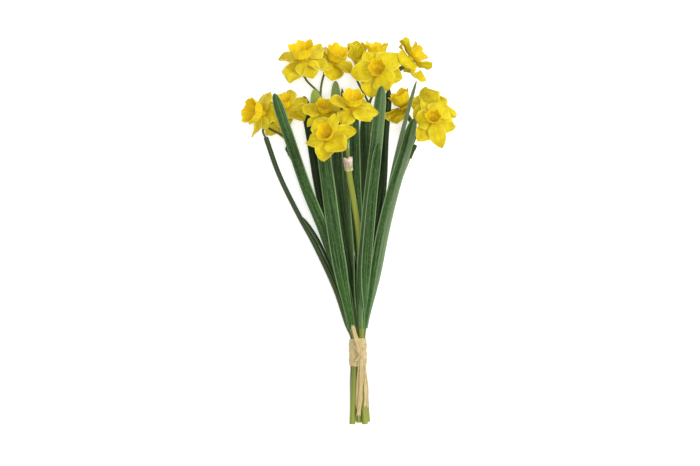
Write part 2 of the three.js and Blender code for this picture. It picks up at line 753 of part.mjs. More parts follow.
for (const name of Object.keys(STEMS)) {
  addPiece(`stem_${name}`, stemSolid(name), stemGreen);
  if (name !== "c") addPiece(`spathe_${name}`, spatheSolid(name), spathePaper);
}
LEAVES.forEach((leaf, i) => addPiece(numbered("leaf", i), leafSolid(leaf), leafGreen));
BLOOMS.forEach((bloom, i) => {
  const { position, rotation } = bloomPlace(bloom);
  for (const piece of [
    addPiece(numbered("perianth", i), perianthSolid(bloom, i), petalYellow),
    addPiece(numbered("corona", i), coronaSolid(bloom, i), coronaGold),
  ]) {
    piece.position.copy(position);
    piece.quaternion.copy(rotation);
  }
});
addPiece("raffia_wrap", wrapSolid(), raffiaStraw);
addPiece("raffia_knot", knotSolid(), raffiaStraw);

export default bunch;
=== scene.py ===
# A tied bunch of cut daffodils, lying on a pale table and seen from straight above.
# The layout is in millimetres and becomes metres when a mesh is made.
import math
import random

import bpy
import numpy as np
from mathutils import Matrix, Vector, noise


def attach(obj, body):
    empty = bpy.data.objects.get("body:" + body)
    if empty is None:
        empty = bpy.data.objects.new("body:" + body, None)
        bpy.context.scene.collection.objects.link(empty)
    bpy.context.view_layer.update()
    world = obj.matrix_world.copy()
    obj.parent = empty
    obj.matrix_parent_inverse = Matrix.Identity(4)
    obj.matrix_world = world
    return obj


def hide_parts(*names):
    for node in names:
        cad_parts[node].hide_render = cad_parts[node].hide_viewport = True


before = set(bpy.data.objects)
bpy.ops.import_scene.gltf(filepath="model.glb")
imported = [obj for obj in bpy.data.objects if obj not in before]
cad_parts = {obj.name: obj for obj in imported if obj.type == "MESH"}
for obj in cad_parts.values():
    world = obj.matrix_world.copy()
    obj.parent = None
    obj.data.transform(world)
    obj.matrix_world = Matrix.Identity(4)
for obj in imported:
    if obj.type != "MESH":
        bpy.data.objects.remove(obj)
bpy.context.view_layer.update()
MM = 0.001


# Camera, light and table

VIEW_CENTRE = (1.0, -1.3, 50.0)
VIEW_WIDTH = 700.0  # the width seen at the height of the view's centre
LENS = 200.0
SENSOR = 36.0
FAR_END = 50  # metres
ROOM_STRENGTH = 0.57
# Each lamp's strength, how many degrees wide it looks, and where it stands.
SOFTBOXES = {
    "upper right softbox": (1.6, 24, (0.75, 0.26, 1.0)),
    "front softbox": (1.25, 14, (0.04, -0.04, 1.0)),
}
TABLE_HALF_WIDTH = 4.0  # metres
TABLE_GLOW = 0.42  # makes the table as white as paper, and its shadows faint


def add_camera():
    """The camera looks straight down on the bunch, with the blooms at the top of the picture."""
    data = bpy.data.cameras.new("overhead")
    data.lens = LENS
    data.sensor_width = SENSOR
    data.clip_end = FAR_END
    camera = bpy.data.objects.new("overhead", data)
    x, y, z = VIEW_CENTRE
    camera.location = (x * MM, y * MM, (z + LENS * VIEW_WIDTH / SENSOR) * MM)
    bpy.context.scene.collection.objects.link(camera)
    bpy.context.scene.camera = camera


def add_lights():
    """A wide soft lamp from the upper right, one beside the camera, and a pale room."""
    scene = bpy.context.scene
    scene.view_settings.view_transform = "Standard"
    world = bpy.data.worlds.new("pale room")
    scene.world = world
    world.use_nodes = True
    background = world.node_tree.nodes["Background"]
    background.inputs["Color"].default_value = (1.0, 1.0, 1.0, 1.0)
    background.inputs["Strength"].default_value = ROOM_STRENGTH
    for name, (power, spread, way) in SOFTBOXES.items():
        data = bpy.data.lights.new(name, "SUN")
        data.energy = power
        data.angle = math.radians(spread)
        lamp = bpy.data.objects.new(name, data)
        lamp.rotation_mode = "QUATERNION"
        lamp.rotation_quaternion = Vector(way).to_track_quat("Z", "Y")
        scene.collection.objects.link(lamp)


def linear(red, green, blue):
    """A colour given in the 255 steps of a screen, as linear light."""
    steps = [value / 255 for value in (red, green, blue)]
    return [s / 12.92 if s <= 0.04045 else ((s + 0.055) / 1.055) ** 2.4 for s in steps] + [1.0]


def add_table():
    """A flat white table under the bunch, which only the picture shows."""
    data = bpy.data.meshes.new("table")
    half = TABLE_HALF_WIDTH
    corners = [(-half, -half, 0), (half, -half, 0), (half, half, 0), (-half, half, 0)]
    data.from_pydata(corners, [], [(0, 1, 2, 3)])
    table = bpy.data.objects.new("table", data)
    bpy.context.scene.collection.objects.link(table)
    material = bpy.data.materials.new("white table")
    material.use_nodes = True
    surface = material.node_tree.nodes["Principled BSDF"]
    surface.inputs["Base Color"].default_value = (0.85, 0.85, 0.85, 1)
    surface.inputs["Emission Color"].default_value = (1, 1, 1, 1)
    surface.inputs["Emission Strength"].default_value = TABLE_GLOW
    surface.inputs["Roughness"].default_value = 0.9
    surface.inputs["Specular IOR Level"].default_value = 0.1
    data.materials.append(material)


add_camera()
add_lights()
add_table()


# The layout, as the frame has it but for a few small shifts, in millimetres and degrees

GAP = 0.3  # between pieces that touch
STEM_RADIUS = 2.9
STEM_TIED_RADIUS = 2.5  # where the raffia squeezes it
PEDICEL_RADIUS = 1.15  # a bloom's own stalk
OVARY_RADIUS = 2.3
OVARY_LENGTH = 7
TUBE_LENGTH = 9
TUBE_RADIUS = 1.7
THROAT_RADIUS = 4.4
THROAT_TOP = 1.2
TEPAL_LENGTH = 21.5
TEPAL_WIDTH = 21.5
TEPAL_ROOT = 3  # how far from the middle of the throat it starts
TEPAL_FOOT = 1.6  # half its width there
TEPAL_LIFT = {"outer": -1.6, "inner": 0.3}  # three tepals start behind the other three
CORONA_HEIGHT = 10.5
CORONA_BASE_RADIUS = 4.2
CORONA_WAIST_RADIUS = 7
CORONA_WAIST_HEIGHT = 4
CORONA_RIM_RADIUS = 9
LEAF_THICKNESS = 1.1
LEAF_TIP_LENGTH = 22
LEAF_CHANNEL_RADIUS = 13
LEAF_FOOT = 5
SPATHE_LENGTH = 12
TIE_CENTRE = (358, 9.9)
TIE_TOP = 340
TIE_BOTTOM = 368
RING_TIED = 5.35  # five stems stand in a ring of this radius round the sixth
RING_LEAVES = 8.9  # the same where the leaves start
LEAVES_START = 329
LEAVES_CENTRE = (356, 14)
SHEET_MIDDLE = (349.0, 231.7)  # of the layout sheet, whose x runs right and y down

# Each stem has its place in the ring, its cut end, and its way up to the head of blooms.
STEMS = {
    "a": dict(
        ring=1, turn=126, end=(352.3, 426, 13),
        way=[(346.5, 290, 26), (337.5, 235, 35.2), (331, 190, 39), (326, 150, 40), (321.5, 106, 39)],
    ),
    "b": dict(
        ring=1, turn=270, end=(360.2, 421.5, 3),
        way=[(357.5, 290, 7.5), (361, 235, 11.5), (364, 190, 15), (367, 150, 18), (368.5, 120, 22)],
    ),
    "c": dict(
        ring=1, turn=198, end=(353, 423.5, 5.6),
        way=[(335.8, 290, 13.5), (314, 243, 21), (299.5, 217, 25), (279, 175, 33), (265.5, 137, 40)],
    ),
    "d": dict(
        ring=1, turn=54, end=(365.2, 426, 13),
        way=[(360, 290, 26), (359.3, 240, 37), (354.5, 205, 46), (349.5, 176, 56), (348, 159, 61)],
    ),
    "e": dict(
        ring=1, turn=342, end=(367.6, 424, 6.2),
        way=[(371, 290, 16), (381, 235, 25), (391, 200, 33), (405, 165, 42), (412, 146, 46)],
    ),
    "f": dict(
        ring=0, turn=0, end=(359.2, 424.5, 9.2),
        way=[(344, 290, 17), (327.5, 235, 24.5), (309.5, 190, 30), (293, 155, 34), (289, 147, 35)],
    ),
}

# Each bloom has its stem, the middle of its throat, the way it faces, its turn about that
# way, its size, the size of its cup, and how far its tepals lean forwards (+) or back (-) at
# root and tip. Single tepals differ from the rule in degrees added to the lean at root and
# tip and to the azimuth (spin), in millimetres of twist, and in factors on length and width.
BLOOMS = [
    dict(
        stem="a", throat=(303, 60.5, 60), faces=(-0.12, 0.85, 0.5), turn=-15, size=1.12, cup=1.4,
        lean=(0, -45),
        tepals={
            0: dict(root=5, tip=15), 1: dict(root=10, tip=40, length=1.1),
            2: dict(spin=50, tip=-30, width=0.6, length=1.3),
            3: dict(root=5, tip=25), 4: dict(spin=18, length=1.15, width=1.25),
        },
    ),
    dict(
        stem="a", throat=(332, 60.5, 36), faces=(0.42, 0.72, 0.55), turn=30, size=1.08, cup=1.25,
        lean=(5, -25), tepals={
            0: dict(root=15, tip=40, spin=20, length=0.88), 2: dict(root=10, tip=20),
            4: dict(tip=-15, length=0.84),
        },
    ),
    dict(
        stem="b", throat=(356, 57, 18.6), faces=(0, 0.97, 0.1), turn=30, size=0.8, cup=0.5,
        lean=(60, 85), tepals={},
    ),
    dict(
        stem="b", throat=(377, 58, 33.5), faces=(0, 0.95, 0.25), turn=30, size=1.0, cup=1.25,
        lean=(-5, -50), tepals={0: dict(root=15, tip=70, length=1.1)},
    ),
    dict(
        stem="b", throat=(378, 72, 66), faces=(-0.1, 0.3, 0.95), turn=0, size=1.1, cup=1.0,
        lean=(8, -16), tepals={
            0: dict(spin=-20, length=0.93, width=0.85), 1: dict(spin=-10, width=1.15),
            4: dict(spin=15), 5: dict(length=0.9),
        },
    ),
    dict(
        stem="b", throat=(411.5, 59, 48), faces=(0.74, 0.66, -0.08), turn=90, size=1.05, cup=1.15,
        lean=(10, -25),
        tepals={
            0: dict(root=10, tip=30, length=0.85),
            1: dict(root=5, tip=30, twist=3, length=0.85, width=0.8),
            2: dict(root=-10, tip=-60, length=0.8),
            3: dict(root=-8, tip=72, width=0.5, twist=-2.8, length=1.15, spin=8),
            4: dict(root=-80, tip=100, width=0.6, twist=4, length=1.16),
            5: dict(root=-60, tip=-10, width=0.8, length=0.8),
        },
    ),
    dict(
        stem="c", throat=(262, 113, 47), faces=(-0.8, 0.17, 0.55), turn=0, size=1.0, cup=1.4,
        lean=(5, -20),
        tepals={
            0: dict(length=0.8), 4: dict(root=10, tip=25, width=0.5, length=1.15, spin=8),
            5: dict(spin=-25, tip=-50, length=0.72),
        },
    ),
    dict(
        stem="f", throat=(285, 108, 40), faces=(-0.15, 0.82, 0.55), turn=30, size=1.05, cup=1.0,
        lean=(-5, -45),
        tepals={
            0: dict(root=15, tip=40), 1: dict(root=15, tip=50), 2: dict(root=15, tip=10, length=0.6),
            3: dict(length=0.42, tip=20), 4: dict(length=0.88),
            5: dict(root=-5, spin=-8, length=1.08, width=1.1),
        },
    ),
    dict(
        stem="f", throat=(276, 118, 14), faces=(0.6, 0.35, -0.7), turn=0, size=0.85, cup=0.8,
        lean=(0, -10), tepals={3: dict(tip=30, length=0.7), 4: dict(tip=25, length=0.8)},
    ),
    dict(
        stem="d", throat=(324, 113, 66), faces=(0.1, 0.72, 0.68), turn=0, size=0.95, cup=0.95,
        lean=(0, -30),
        tepals={3: dict(root=10, tip=30, length=0.9), 4: dict(spin=-20, width=0.55)},
    ),
    dict(
        stem="d", throat=(353, 108, 88.5), faces=(0.05, 0.8, 0.6), turn=0, size=1.1, cup=1.2,
        lean=(0, -35), tepals={
            0: dict(tip=10, width=1.15, spin=-6), 3: dict(root=15, tip=55), 4: dict(length=0.85),
            5: dict(spin=14),
        },
    ),
    dict(
        stem="d", throat=(329, 138, 105.5), faces=(-0.35, 0.4, 0.84), turn=8, size=1.14, cup=1.05,
        lean=(10, -14),
        tepals={
            0: dict(spin=8, width=0.72), 1: dict(width=0.6, twist=3, length=0.88),
            3: dict(width=0.65, length=0.92), 4: dict(width=0.85, spin=20), 5: dict(length=0.85),
        },
    ),
    dict(
        stem="e", throat=(404.5, 105.5, 19.4), faces=(-0.4, 0.88, 0.22), turn=30, size=1.02, cup=1.25,
        lean=(0, -40),
        tepals={
            0: dict(root=15, tip=45), 1: dict(tip=30, length=0.85),
            2: dict(tip=20, length=0.75, width=0.75, spin=-22), 3: dict(length=0.85, twist=4),
            4: dict(spin=-19, length=0.94, width=1.2), 5: dict(root=10, tip=40),
        },
    ),
    dict(
        stem="e", throat=(433, 107, 47), faces=(0.1, 0.6, -0.75), turn=0, size=1.02, cup=0.8,
        lean=(5, -10), tepals={
            0: dict(width=0.7, length=1.08), 4: dict(spin=-8, length=1.12), 5: dict(length=0.62),
        },
    ),
    dict(
        stem="e", throat=(432.5, 121, 86), faces=(0, 0.35, 0.93), turn=-5, size=1.08, cup=0.85,
        lean=(0, -22),
        tepals={
            0: dict(length=0.85, spin=6, width=0.85), 1: dict(length=0.85), 2: dict(width=0.6, twist=4),
            3: dict(length=0.58), 4: dict(width=0.8, spin=8, length=1.06),
            5: dict(width=0.68, length=1.12, spin=-14),
        },
    ),
]

# Each leaf has its stem, the way its outer face looks at base, middle and tip in degrees from
# straight up towards +X, its width, how wide its foot is where that isn't the rule, its tone (0 dark,
# 1 pale, 2 fresh; low tones on hidden leaves are partly painted shade), one for its tip where that
# differs, how much painted light makes its right-hand side paler, and its way up from its base.
LEAVES = [
    dict(
        stem="c", looks=(40, 70, 60), width=6, tone=0.15,
        way=[(340, 290, 13.8), (328.5, 262, 19.3), (319.5, 243, 24), (310, 228, 26.5), (302, 217, 28.5)],
    ),
    dict(
        stem="a", looks=(-95, -28, -10), width=12.5, tone=0.5,
        way=[(339.9, 290, 21.5), (324.5, 235, 32.7), (305.5, 187, 47), (289.5, 140, 61), (274.5, 94, 70)],
    ),
    dict(
        stem="a", looks=(5, -8, 0), width=15, foot=7, tone=0.48, tip_tone=1.95,
        way=[(344, 290, 31), (334.5, 235, 41.2), (327, 180, 45.5), (319.5, 125, 46.5), (314.5, 89, 47.5)],
    ),
    dict(
        stem="f", looks=(205, 170, 170), width=13, tone=0,
        way=[(348.6, 290, 11.3), (332.5, 235, 17.5), (321, 190, 22), (310.5, 130, 23), (303.5, 95, 20)],
    ),
    dict(
        stem="a", looks=(108, 0, 0), width=12, tone=0.2, tip_tone=1.5,
        way=[(352.2, 290, 22), (343.5, 235, 27), (338.5, 190, 31), (336, 125, 32), (335.5, 80, 30)],
    ),
    dict(
        stem="d", looks=(-122, -50, -45), width=9, tone=0.55,
        way=[(354.5, 290, 27), (350, 240, 36), (347.3, 205, 39), (345, 150, 42), (342, 88, 45)],
    ),
    dict(
        stem="e", looks=(-72, 0, 5), width=12, tone=0.5,
        way=[(364.5, 290, 17.8), (358, 235, 24.5), (355.8, 190, 29), (354.5, 140, 33), (353.5, 100, 35)],
    ),
    dict(
        stem="b", looks=(55, 0, 0), width=12.5, tone=0.15,
        way=[(357.5, 290, 12.3), (363, 235, 17), (366, 190, 21.5), (365.2, 145, 26), (365, 112, 29)],
    ),
    dict(
        stem="d", looks=(-26, 6, -2), width=14, foot=6.5, tone=0.55, painted_light_side=0.1,
        way=[(361, 290, 31), (366.5, 235, 45), (371, 190, 56), (377.5, 130, 68), (381.5, 87, 80.5)],
    ),
    dict(
        stem="d", looks=(82, 15, 10), width=11, tone=0.45,
        way=[(365.6, 290, 35.4), (368, 245, 48), (372, 200, 60), (376, 165, 68), (378.5, 143, 73)],
    ),
    dict(
        stem="b", looks=(135, 10, 0), width=9.5, tone=0,
        way=[(366, 290, 8), (375, 235, 12.5), (382, 190, 16.5), (385.5, 130, 13), (389.5, 87, 5.5)],
    ),
    dict(
        stem="e", looks=(35, 20, 15), width=14, foot=6, tone=0.5, painted_light_side=0.28,
        way=[(373.5, 290, 20.5), (383, 235, 33), (394, 190, 44), (406, 150, 54), (414, 119, 61)],
    ),
    dict(
        stem="e", looks=(175, 130, 120), width=8, tone=1,
        way=[(372, 290, 11), (384, 235, 19), (390.6, 190, 27), (402, 136, 48), (416.5, 81, 64)],
    ),
]


# Ways, rings and bodies

WAY_STEPS = 200
HALVINGS = 40
SHARP_ANGLE = 55


def at(place):
    """A place of the layout sheet, in the frame."""
    x, y, z = place
    return np.array([x - SHEET_MIDDLE[0], SHEET_MIDDLE[1] - y, z], float)


def sheet_y(point):
    """The y on the layout sheet of a point of the frame."""
    return SHEET_MIDDLE[1] - point[1]


def mix(first, second, share):
    return first + (second - first) * share


def smooth(value, low, high):
    """A share from 0 to 1 that starts and ends softly between low and high."""
    share = np.clip((value - low) / (high - low), 0, 1)
    return share * share * (3 - 2 * share)


def unit(vector):
    return vector / np.linalg.norm(vector)


class Way:
    """A smooth way through places: a centripetal Catmull-Rom curve, as the frame's is."""

    def __init__(self, places):
        inner = [np.array(place, float) for place in places]
        self.places = [2 * inner[0] - inner[1]] + inner + [2 * inner[-1] - inner[-2]]
        self.spans = len(inner) - 1
        trail = np.array([self.point(i / WAY_STEPS) for i in range(WAY_STEPS + 1)])
        steps = np.linalg.norm(np.diff(trail, axis=0), axis=1)
        self.reached = np.concatenate([[0], np.cumsum(steps)])
        self.length = self.reached[-1]

    def point(self, t):
        span = min(int(t * self.spans), self.spans - 1)
        w = t * self.spans - span
        p0, p1, p2, p3 = self.places[span : span + 4]
        d0, d1, d2 = (max(np.linalg.norm(b - a), 1e-6) ** 0.5 for a, b in ((p0, p1), (p1, p2), (p2, p3)))
        t1 = ((p1 - p0) / d0 - (p2 - p0) / (d0 + d1) + (p2 - p1) / d1) * d1
        t2 = ((p2 - p1) / d1 - (p3 - p1) / (d1 + d2) + (p3 - p2) / d2) * d1
        bend = -3 * p1 + 3 * p2 - 2 * t1 - t2
        twist = 2 * p1 - 2 * p2 + t1 + t2
        return p1 + t1 * w + bend * w**2 + twist * w**3

    def tangent(self, t):
        return unit(self.point(min(1, t + 1e-4)) - self.point(max(0, t - 1e-4)))

    def share(self, u):
        """The curve's own parameter at a share of its length."""
        return float(np.interp(u * self.length, self.reached, np.linspace(0, 1, WAY_STEPS + 1)))

    def at_sheet_y(self, wanted):
        """The curve's own parameter where it passes a height of the layout sheet."""
        low, high = 0.0, 1.0
        for _ in range(HALVINGS):
            middle = (low + high) / 2
            if sheet_y(self.point(middle)) > wanted:
                low = middle
            else:
                high = middle
        return low


class Body:
    """Points, faces, their places on the pattern and their tones, gathered for one mesh."""

    def __init__(self):
        self.points = []
        self.tones = []
        self.faces = []
        self.pattern = []
        self.count = 0

    def loft(self, rings, along, across=None, tone=0.0, endless=False, capped=True):
        """A closed body through rings of points. Where across is given, a ring's second half
        runs back beside its first, as on a blade; otherwise a ring goes round."""
        rings = np.asarray(rings, float)
        rows, count = rings.shape[:2]
        along = np.asarray(along, float)
        here = across if across is not None else np.arange(count) / count
        there = np.roll(across, -1) if across is not None else (np.arange(count) + 1) / count
        last = rows if endless else rows - 1
        i, j = np.meshgrid(np.arange(last), np.arange(count), indexing="ij")
        k, n = (i + 1) % rows, (j + 1) % count
        faces = np.stack([i * count + j, i * count + n, k * count + n, k * count + j], axis=-1)
        ends = np.append(along[1:], 2 * along[-1] - along[-2])
        u = np.stack([here[j], there[j], there[j], here[j]], axis=-1)
        v = np.stack([along[i], along[i], ends[i], ends[i]], axis=-1)
        faces = faces.reshape(-1, 4).tolist()
        pattern = np.stack([u, v], axis=-1).reshape(-1, 4, 2).tolist()
        if capped and not endless:
            top = (rows - 1) * count
            if across is not None:
                strips = [(j, count - 1 - j, count - 2 - j, j + 1) for j in range(count // 2 - 1)]
            else:
                strips = [tuple(reversed(range(count)))]
            for strip in strips:
                faces.append(list(strip))
                pattern.append([(here[c], along[0]) for c in strip])
                faces.append([top + c for c in reversed(strip)])
                pattern.append([(here[c], along[-1]) for c in reversed(strip)])
        flat = rings.reshape(-1, 3)
        corners = flat[[[face[0], face[1], face[2]] for face in faces]] - flat.mean(axis=0)
        others = flat[[[face[0], face[2], face[-1]] for face in faces]] - flat.mean(axis=0)
        if np.linalg.det(corners).sum() + np.linalg.det(others).sum() < 0:
            faces = [face[::-1] for face in faces]
            pattern = [places[::-1] for places in pattern]
        self.points.append(flat)
        self.tones.append(np.broadcast_to(tone, (rows, count)).reshape(-1))
        self.faces += [[self.count + c for c in face] for face in faces]
        self.pattern += pattern
        self.count += len(flat)

    def mesh(self, name, placing=None):
        """The gathered bodies as one mesh in metres, put in its place where one is given."""
        points = np.concatenate(self.points) * MM
        data = bpy.data.meshes.new(name)
        data.from_pydata(points.tolist(), [], self.faces)
        layer = data.uv_layers.new(name="UVMap")
        places = np.array([place for face in self.pattern for place in face], float)
        layer.data.foreach_set("uv", places.reshape(-1))
        tone = data.attributes.new("tone", "FLOAT", "POINT")
        tone.data.foreach_set("value", np.concatenate(self.tones).astype(float))
        if placing is not None:
            data.transform(placing)
        data.shade_smooth()
        data.set_sharp_from_angle(angle=math.radians(SHARP_ANGLE))
        return data


def add_piece(name, data, material, nodes):
    """A finished piece, which stands for the given nodes of the frame."""
    data.materials.clear()
    data.materials.append(material)
    piece = bpy.data.objects.new(name, data)
    bpy.context.scene.collection.objects.link(piece)
    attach(piece, "root")
    if nodes:
        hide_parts(*nodes)
    return piece


# Finishes

class Finish:
    """A material that is built up by short calls, each adding one node."""

    def __init__(self, name, **constants):
        self.material = bpy.data.materials.new(name)
        self.material.use_nodes = True
        self.tree = self.material.node_tree
        self.surface = self.tree.nodes["Principled BSDF"]
        for socket, value in constants.items():
            self.surface.inputs[socket.replace("_", " ")].default_value = value

    def add(self, kind, inputs=(), **settings):
        node = self.tree.nodes.new(kind)
        for setting, value in settings.items():
            setattr(node, setting, value)
        for socket, value in dict(inputs).items():
            if isinstance(value, bpy.types.NodeSocket):
                self.tree.links.new(value, node.inputs[socket])
            else:
                node.inputs[socket].default_value = value
        return node

    def mottle(self, scale, source="UV", detail=3.0, roughness=0.55):
        """Noise between 0 and 1, stretched over the surface."""
        places = self.add("ShaderNodeTexCoord").outputs[source]
        stretched = self.add("ShaderNodeMapping", {"Vector": places, "Scale": scale})
        inputs = {"Vector": stretched.outputs["Vector"], "Scale": 1.0, "Detail": detail}
        inputs["Roughness"] = roughness
        return self.add("ShaderNodeTexNoise", inputs).outputs["Fac"]

    def spread(self, value, low, high, start=0.0, end=1.0):
        """A value that goes from start to end as the given one goes from low to high."""
        inputs = {"Value": value, "From Min": low, "From Max": high, "To Min": start, "To Max": end}
        return self.add("ShaderNodeMapRange", inputs).outputs["Result"]

    def blend(self, share, first, second):
        """A colour between two others."""
        node = self.add("ShaderNodeMix", data_type="RGBA")
        sockets = {i.identifier: i for i in node.inputs}
        for name, value in (("Factor_Float", share), ("A_Color", first), ("B_Color", second)):
            if isinstance(value, bpy.types.NodeSocket):
                self.tree.links.new(value, sockets[name])
            else:
                sockets[name].default_value = value
        return next(o for o in node.outputs if o.identifier == "Result_Color")

    def layered(self, body, *layers):
        """A colour with others laid over it. The share of each goes from start to end as its
        value goes from low to high."""
        for value, low, high, start, end, tint in layers:
            body = self.blend(self.spread(value, low, high, start, end), body, linear(*tint))
        return body

    def maths(self, operation, *values):
        inputs = dict(enumerate(values))
        return self.add("ShaderNodeMath", inputs, operation=operation).outputs[0]

    def tone(self):
        return self.add("ShaderNodeAttribute", attribute_name="tone").outputs["Fac"]

    def place(self):
        """How far across (0 to 1) and along the surface a point lies."""
        places = self.add("ShaderNodeTexCoord").outputs["UV"]
        split = self.add("ShaderNodeSeparateXYZ", {"Vector": places})
        return split.outputs["X"], split.outputs["Y"]

    def edge(self):
        """0 on the middle line of a blade and 1 on its edges."""
        across, _ = self.place()
        off = self.maths("SUBTRACT", across, 0.5)
        return self.maths("MULTIPLY", self.maths("ABSOLUTE", off), 2.0)

    def colour(self, value):
        self.tree.links.new(value, self.surface.inputs["Base Color"])

    def relief(self, height, distance, strength=1.0):
        inputs = {"Height": height, "Distance": distance, "Strength": strength}
        normal = self.add("ShaderNodeBump", inputs).outputs["Normal"]
        self.tree.links.new(normal, self.surface.inputs["Normal"])


def flower_finish(name):
    """Thin flower tissue that a little light shines into."""
    return Finish(
        name, Roughness=0.55, Specular_IOR_Level=0.2, Subsurface_Weight=0.3,
        Subsurface_Scale=0.0015, Subsurface_Radius=(1.0, 0.85, 0.1),
    )


def petal_finish():
    """Lemon-yellow tepals: fine lengthwise veins, a deeper root and a paler crumpled rim."""
    finish = flower_finish("petal yellow")
    veins = finish.mottle((34, 1.6, 1))
    blotches = finish.mottle((90, 90, 90), "Object", 2.0)
    _, along = finish.place()
    finish.colour(finish.layered(
        linear(206, 184, 16),
        (veins, 0.35, 0.65, 0, 1, (236, 216, 24)),
        (blotches, 0.42, 0.68, 0, 0.8, (196, 172, 24)),
        (along, 0, 0.28, 0.5, 0, (206, 168, 14)),
        (finish.edge(), 0.84, 0.98, 0, 0.75, (244, 226, 76)),
    ))
    finish.relief(finish.maths("ADD", veins, finish.mottle((90, 7, 1))), 0.0007, 0.8)
    return finish.material


def cup_finish():
    """The cup is a deeper, slightly orange yellow, ribbed from floor to rim."""
    finish = flower_finish("cup gold")
    ribs = finish.mottle((46, 0.9, 1))
    _, along = finish.place()
    finish.colour(finish.layered(
        linear(216, 184, 18),
        (ribs, 0.35, 0.65, 0, 1, (240, 212, 26)),
        (along, 0, 0.35, 0.6, 0, (214, 172, 16)),
    ))
    finish.relief(finish.maths("ADD", ribs, finish.mottle((120, 6, 1))), 0.0007, 0.8)
    return finish.material


def leaf_finish():
    """Waxy blades, dark (tone 0), pale (tone 1) or fresh (tone 2), with pale lines and margin.
    Low tones on the hidden leaves are partly painted shade, and a blade's paler right-hand side is
    painted light. They are a lighter green over the first 70 mm of their length."""
    finish = Finish("leaf green", Roughness=0.5, Specular_IOR_Level=0.12)
    streaks = finish.mottle((7, 0.02, 1), detail=4.0)
    lines = finish.mottle((16, 0.006, 1), detail=1.0)
    veins = finish.mottle((70, 0.01, 1), detail=2.0)
    clouds = finish.mottle((40, 14, 40), "Object", 2.0)
    wax = finish.mottle((620, 300, 620), "Object", 2.0)
    tone = finish.tone()
    _, along = finish.place()
    body = finish.layered(
        linear(14, 34, 8),
        (streaks, 0.36, 0.66, 0, 1, (60, 98, 36)),
        (veins, 0.45, 0.7, 0, 0.3, (88, 122, 64)),
        (clouds, 0.4, 0.75, 0, 0.45, (20, 42, 16)),
        (along, 0, 70, 0.6, 0, (50, 98, 28)),
        (wax, 0.48, 0.7, 0, 0.2, (120, 148, 108)),
        # Low tones are partly the leaf's own darker green and partly painted shade on the hidden leaves.
        (tone, 0, 0.5, 0.85, 0, (14, 28, 6)),
        (tone, 0.5, 1, 0, 0.75, (148, 166, 130)),
        (lines, 0.56, 0.66, 0, 0.45, (114, 144, 88)),
        (tone, 1, 2, 0, 0.8, (146, 168, 46)),
    )
    margin = finish.spread(finish.edge(), 0.74, 0.94, 0, 1)
    margin = finish.maths("MULTIPLY", margin, finish.spread(tone, 0, 0.5, 0.25, 0.8))
    finish.colour(finish.blend(margin, body, linear(136, 164, 112)))
    finish.relief(finish.maths("ADD", veins, streaks), 0.0005, 0.8)
    return finish.material


def stalk_finish():
    """Flower stalks, from yellow-green (tone 0) to dark green (tone 1), finely ribbed."""
    finish = Finish("stalk green", Roughness=0.45, Specular_IOR_Level=0.25)
    ribs = finish.mottle((26, 0.012, 1), detail=3.0)
    body = finish.blend(finish.tone(), linear(136, 144, 48), linear(26, 46, 16))
    finish.colour(finish.layered(body, (ribs, 0.42, 0.7, 0, 0.3, (132, 150, 84))))
    finish.relief(ribs, 0.0004, 0.5)
    return finish.material


def sheath_finish():
    """The sheath: papery with brown streaks over a greener foot (tone 0), or green (tone 1)."""
    finish = Finish("papery sheath", Roughness=0.75, Specular_IOR_Level=0.2)
    streaks = finish.mottle((14, 1.2, 1), detail=5.0)
    blots = finish.mottle((260, 160, 260), "Object", 3.0)
    _, along = finish.place()
    body = finish.layered(
        linear(214, 200, 182),
        (streaks, 0.4, 0.62, 0, 1, (150, 112, 96)),
        (along, 0.3, 0.6, 0.75, 0, (150, 148, 84)),
        (blots, 0.5, 0.64, 0, 0.7, (228, 218, 206)),
    )
    finish.colour(finish.blend(finish.tone(), body, linear(50, 70, 26)))
    finish.relief(streaks, 0.0008, 0.7)
    return finish.material


def raffia_finish():
    """Straw-coloured raffia with long fibres."""
    finish = Finish("raffia straw", Roughness=0.62, Specular_IOR_Level=0.3)
    fibres = finish.mottle((22, 0.05, 1), detail=4.0, roughness=0.7)
    fine = finish.mottle((80, 0.12, 1), detail=2.0)
    finish.colour(finish.layered(
        linear(176, 150, 92),
        (fibres, 0.36, 0.66, 0, 1, (236, 220, 170)),
        (fine, 0.5, 0.7, 0, 0.6, (150, 124, 72)),
    ))
    finish.relief(finish.maths("ADD", fibres, fine), 0.0005, 0.8)
    return finish.material


def anther_finish():
    """Anthers covered with grains of pollen."""
    finish = Finish("pollen gold", Roughness=0.8)
    grains = finish.mottle((2600, 2600, 2600), "Object", 2.0)
    finish.colour(finish.blend(grains, linear(206, 164, 26), linear(230, 200, 60)))
    finish.relief(grains, 0.0002, 0.6)
    return finish.material


# Stems

def look(angle):
    """The way that is so many degrees from straight up towards +X."""
    turned = math.radians(angle)
    return np.array([math.sin(turned), 0, math.cos(turned)])


def ring_place(centre, radius, turn):
    """The x and z of a place on a ring round the bunch."""
    turned = math.radians(turn)
    return centre[0] + radius * math.cos(turned), centre[1] + radius * math.sin(turned)


def stem_way(name):
    """The way of a stem, from its cut end through the tie to its head of blooms."""
    stem = STEMS[name]
    tied_x, tied_z = ring_place(TIE_CENTRE, stem["ring"] * RING_TIED, stem["turn"])
    leaves_x, leaves_z = ring_place(LEAVES_CENTRE, stem["ring"] * RING_LEAVES, stem["turn"])
    tied = [(tied_x, y, tied_z) for y in (TIE_BOTTOM + 1, TIE_TOP + 6, TIE_TOP - 1.5)]
    places = [stem["end"], *tied, (leaves_x, LEAVES_START - 4, leaves_z)]
    return Way([at(place) for place in places + stem["way"]])


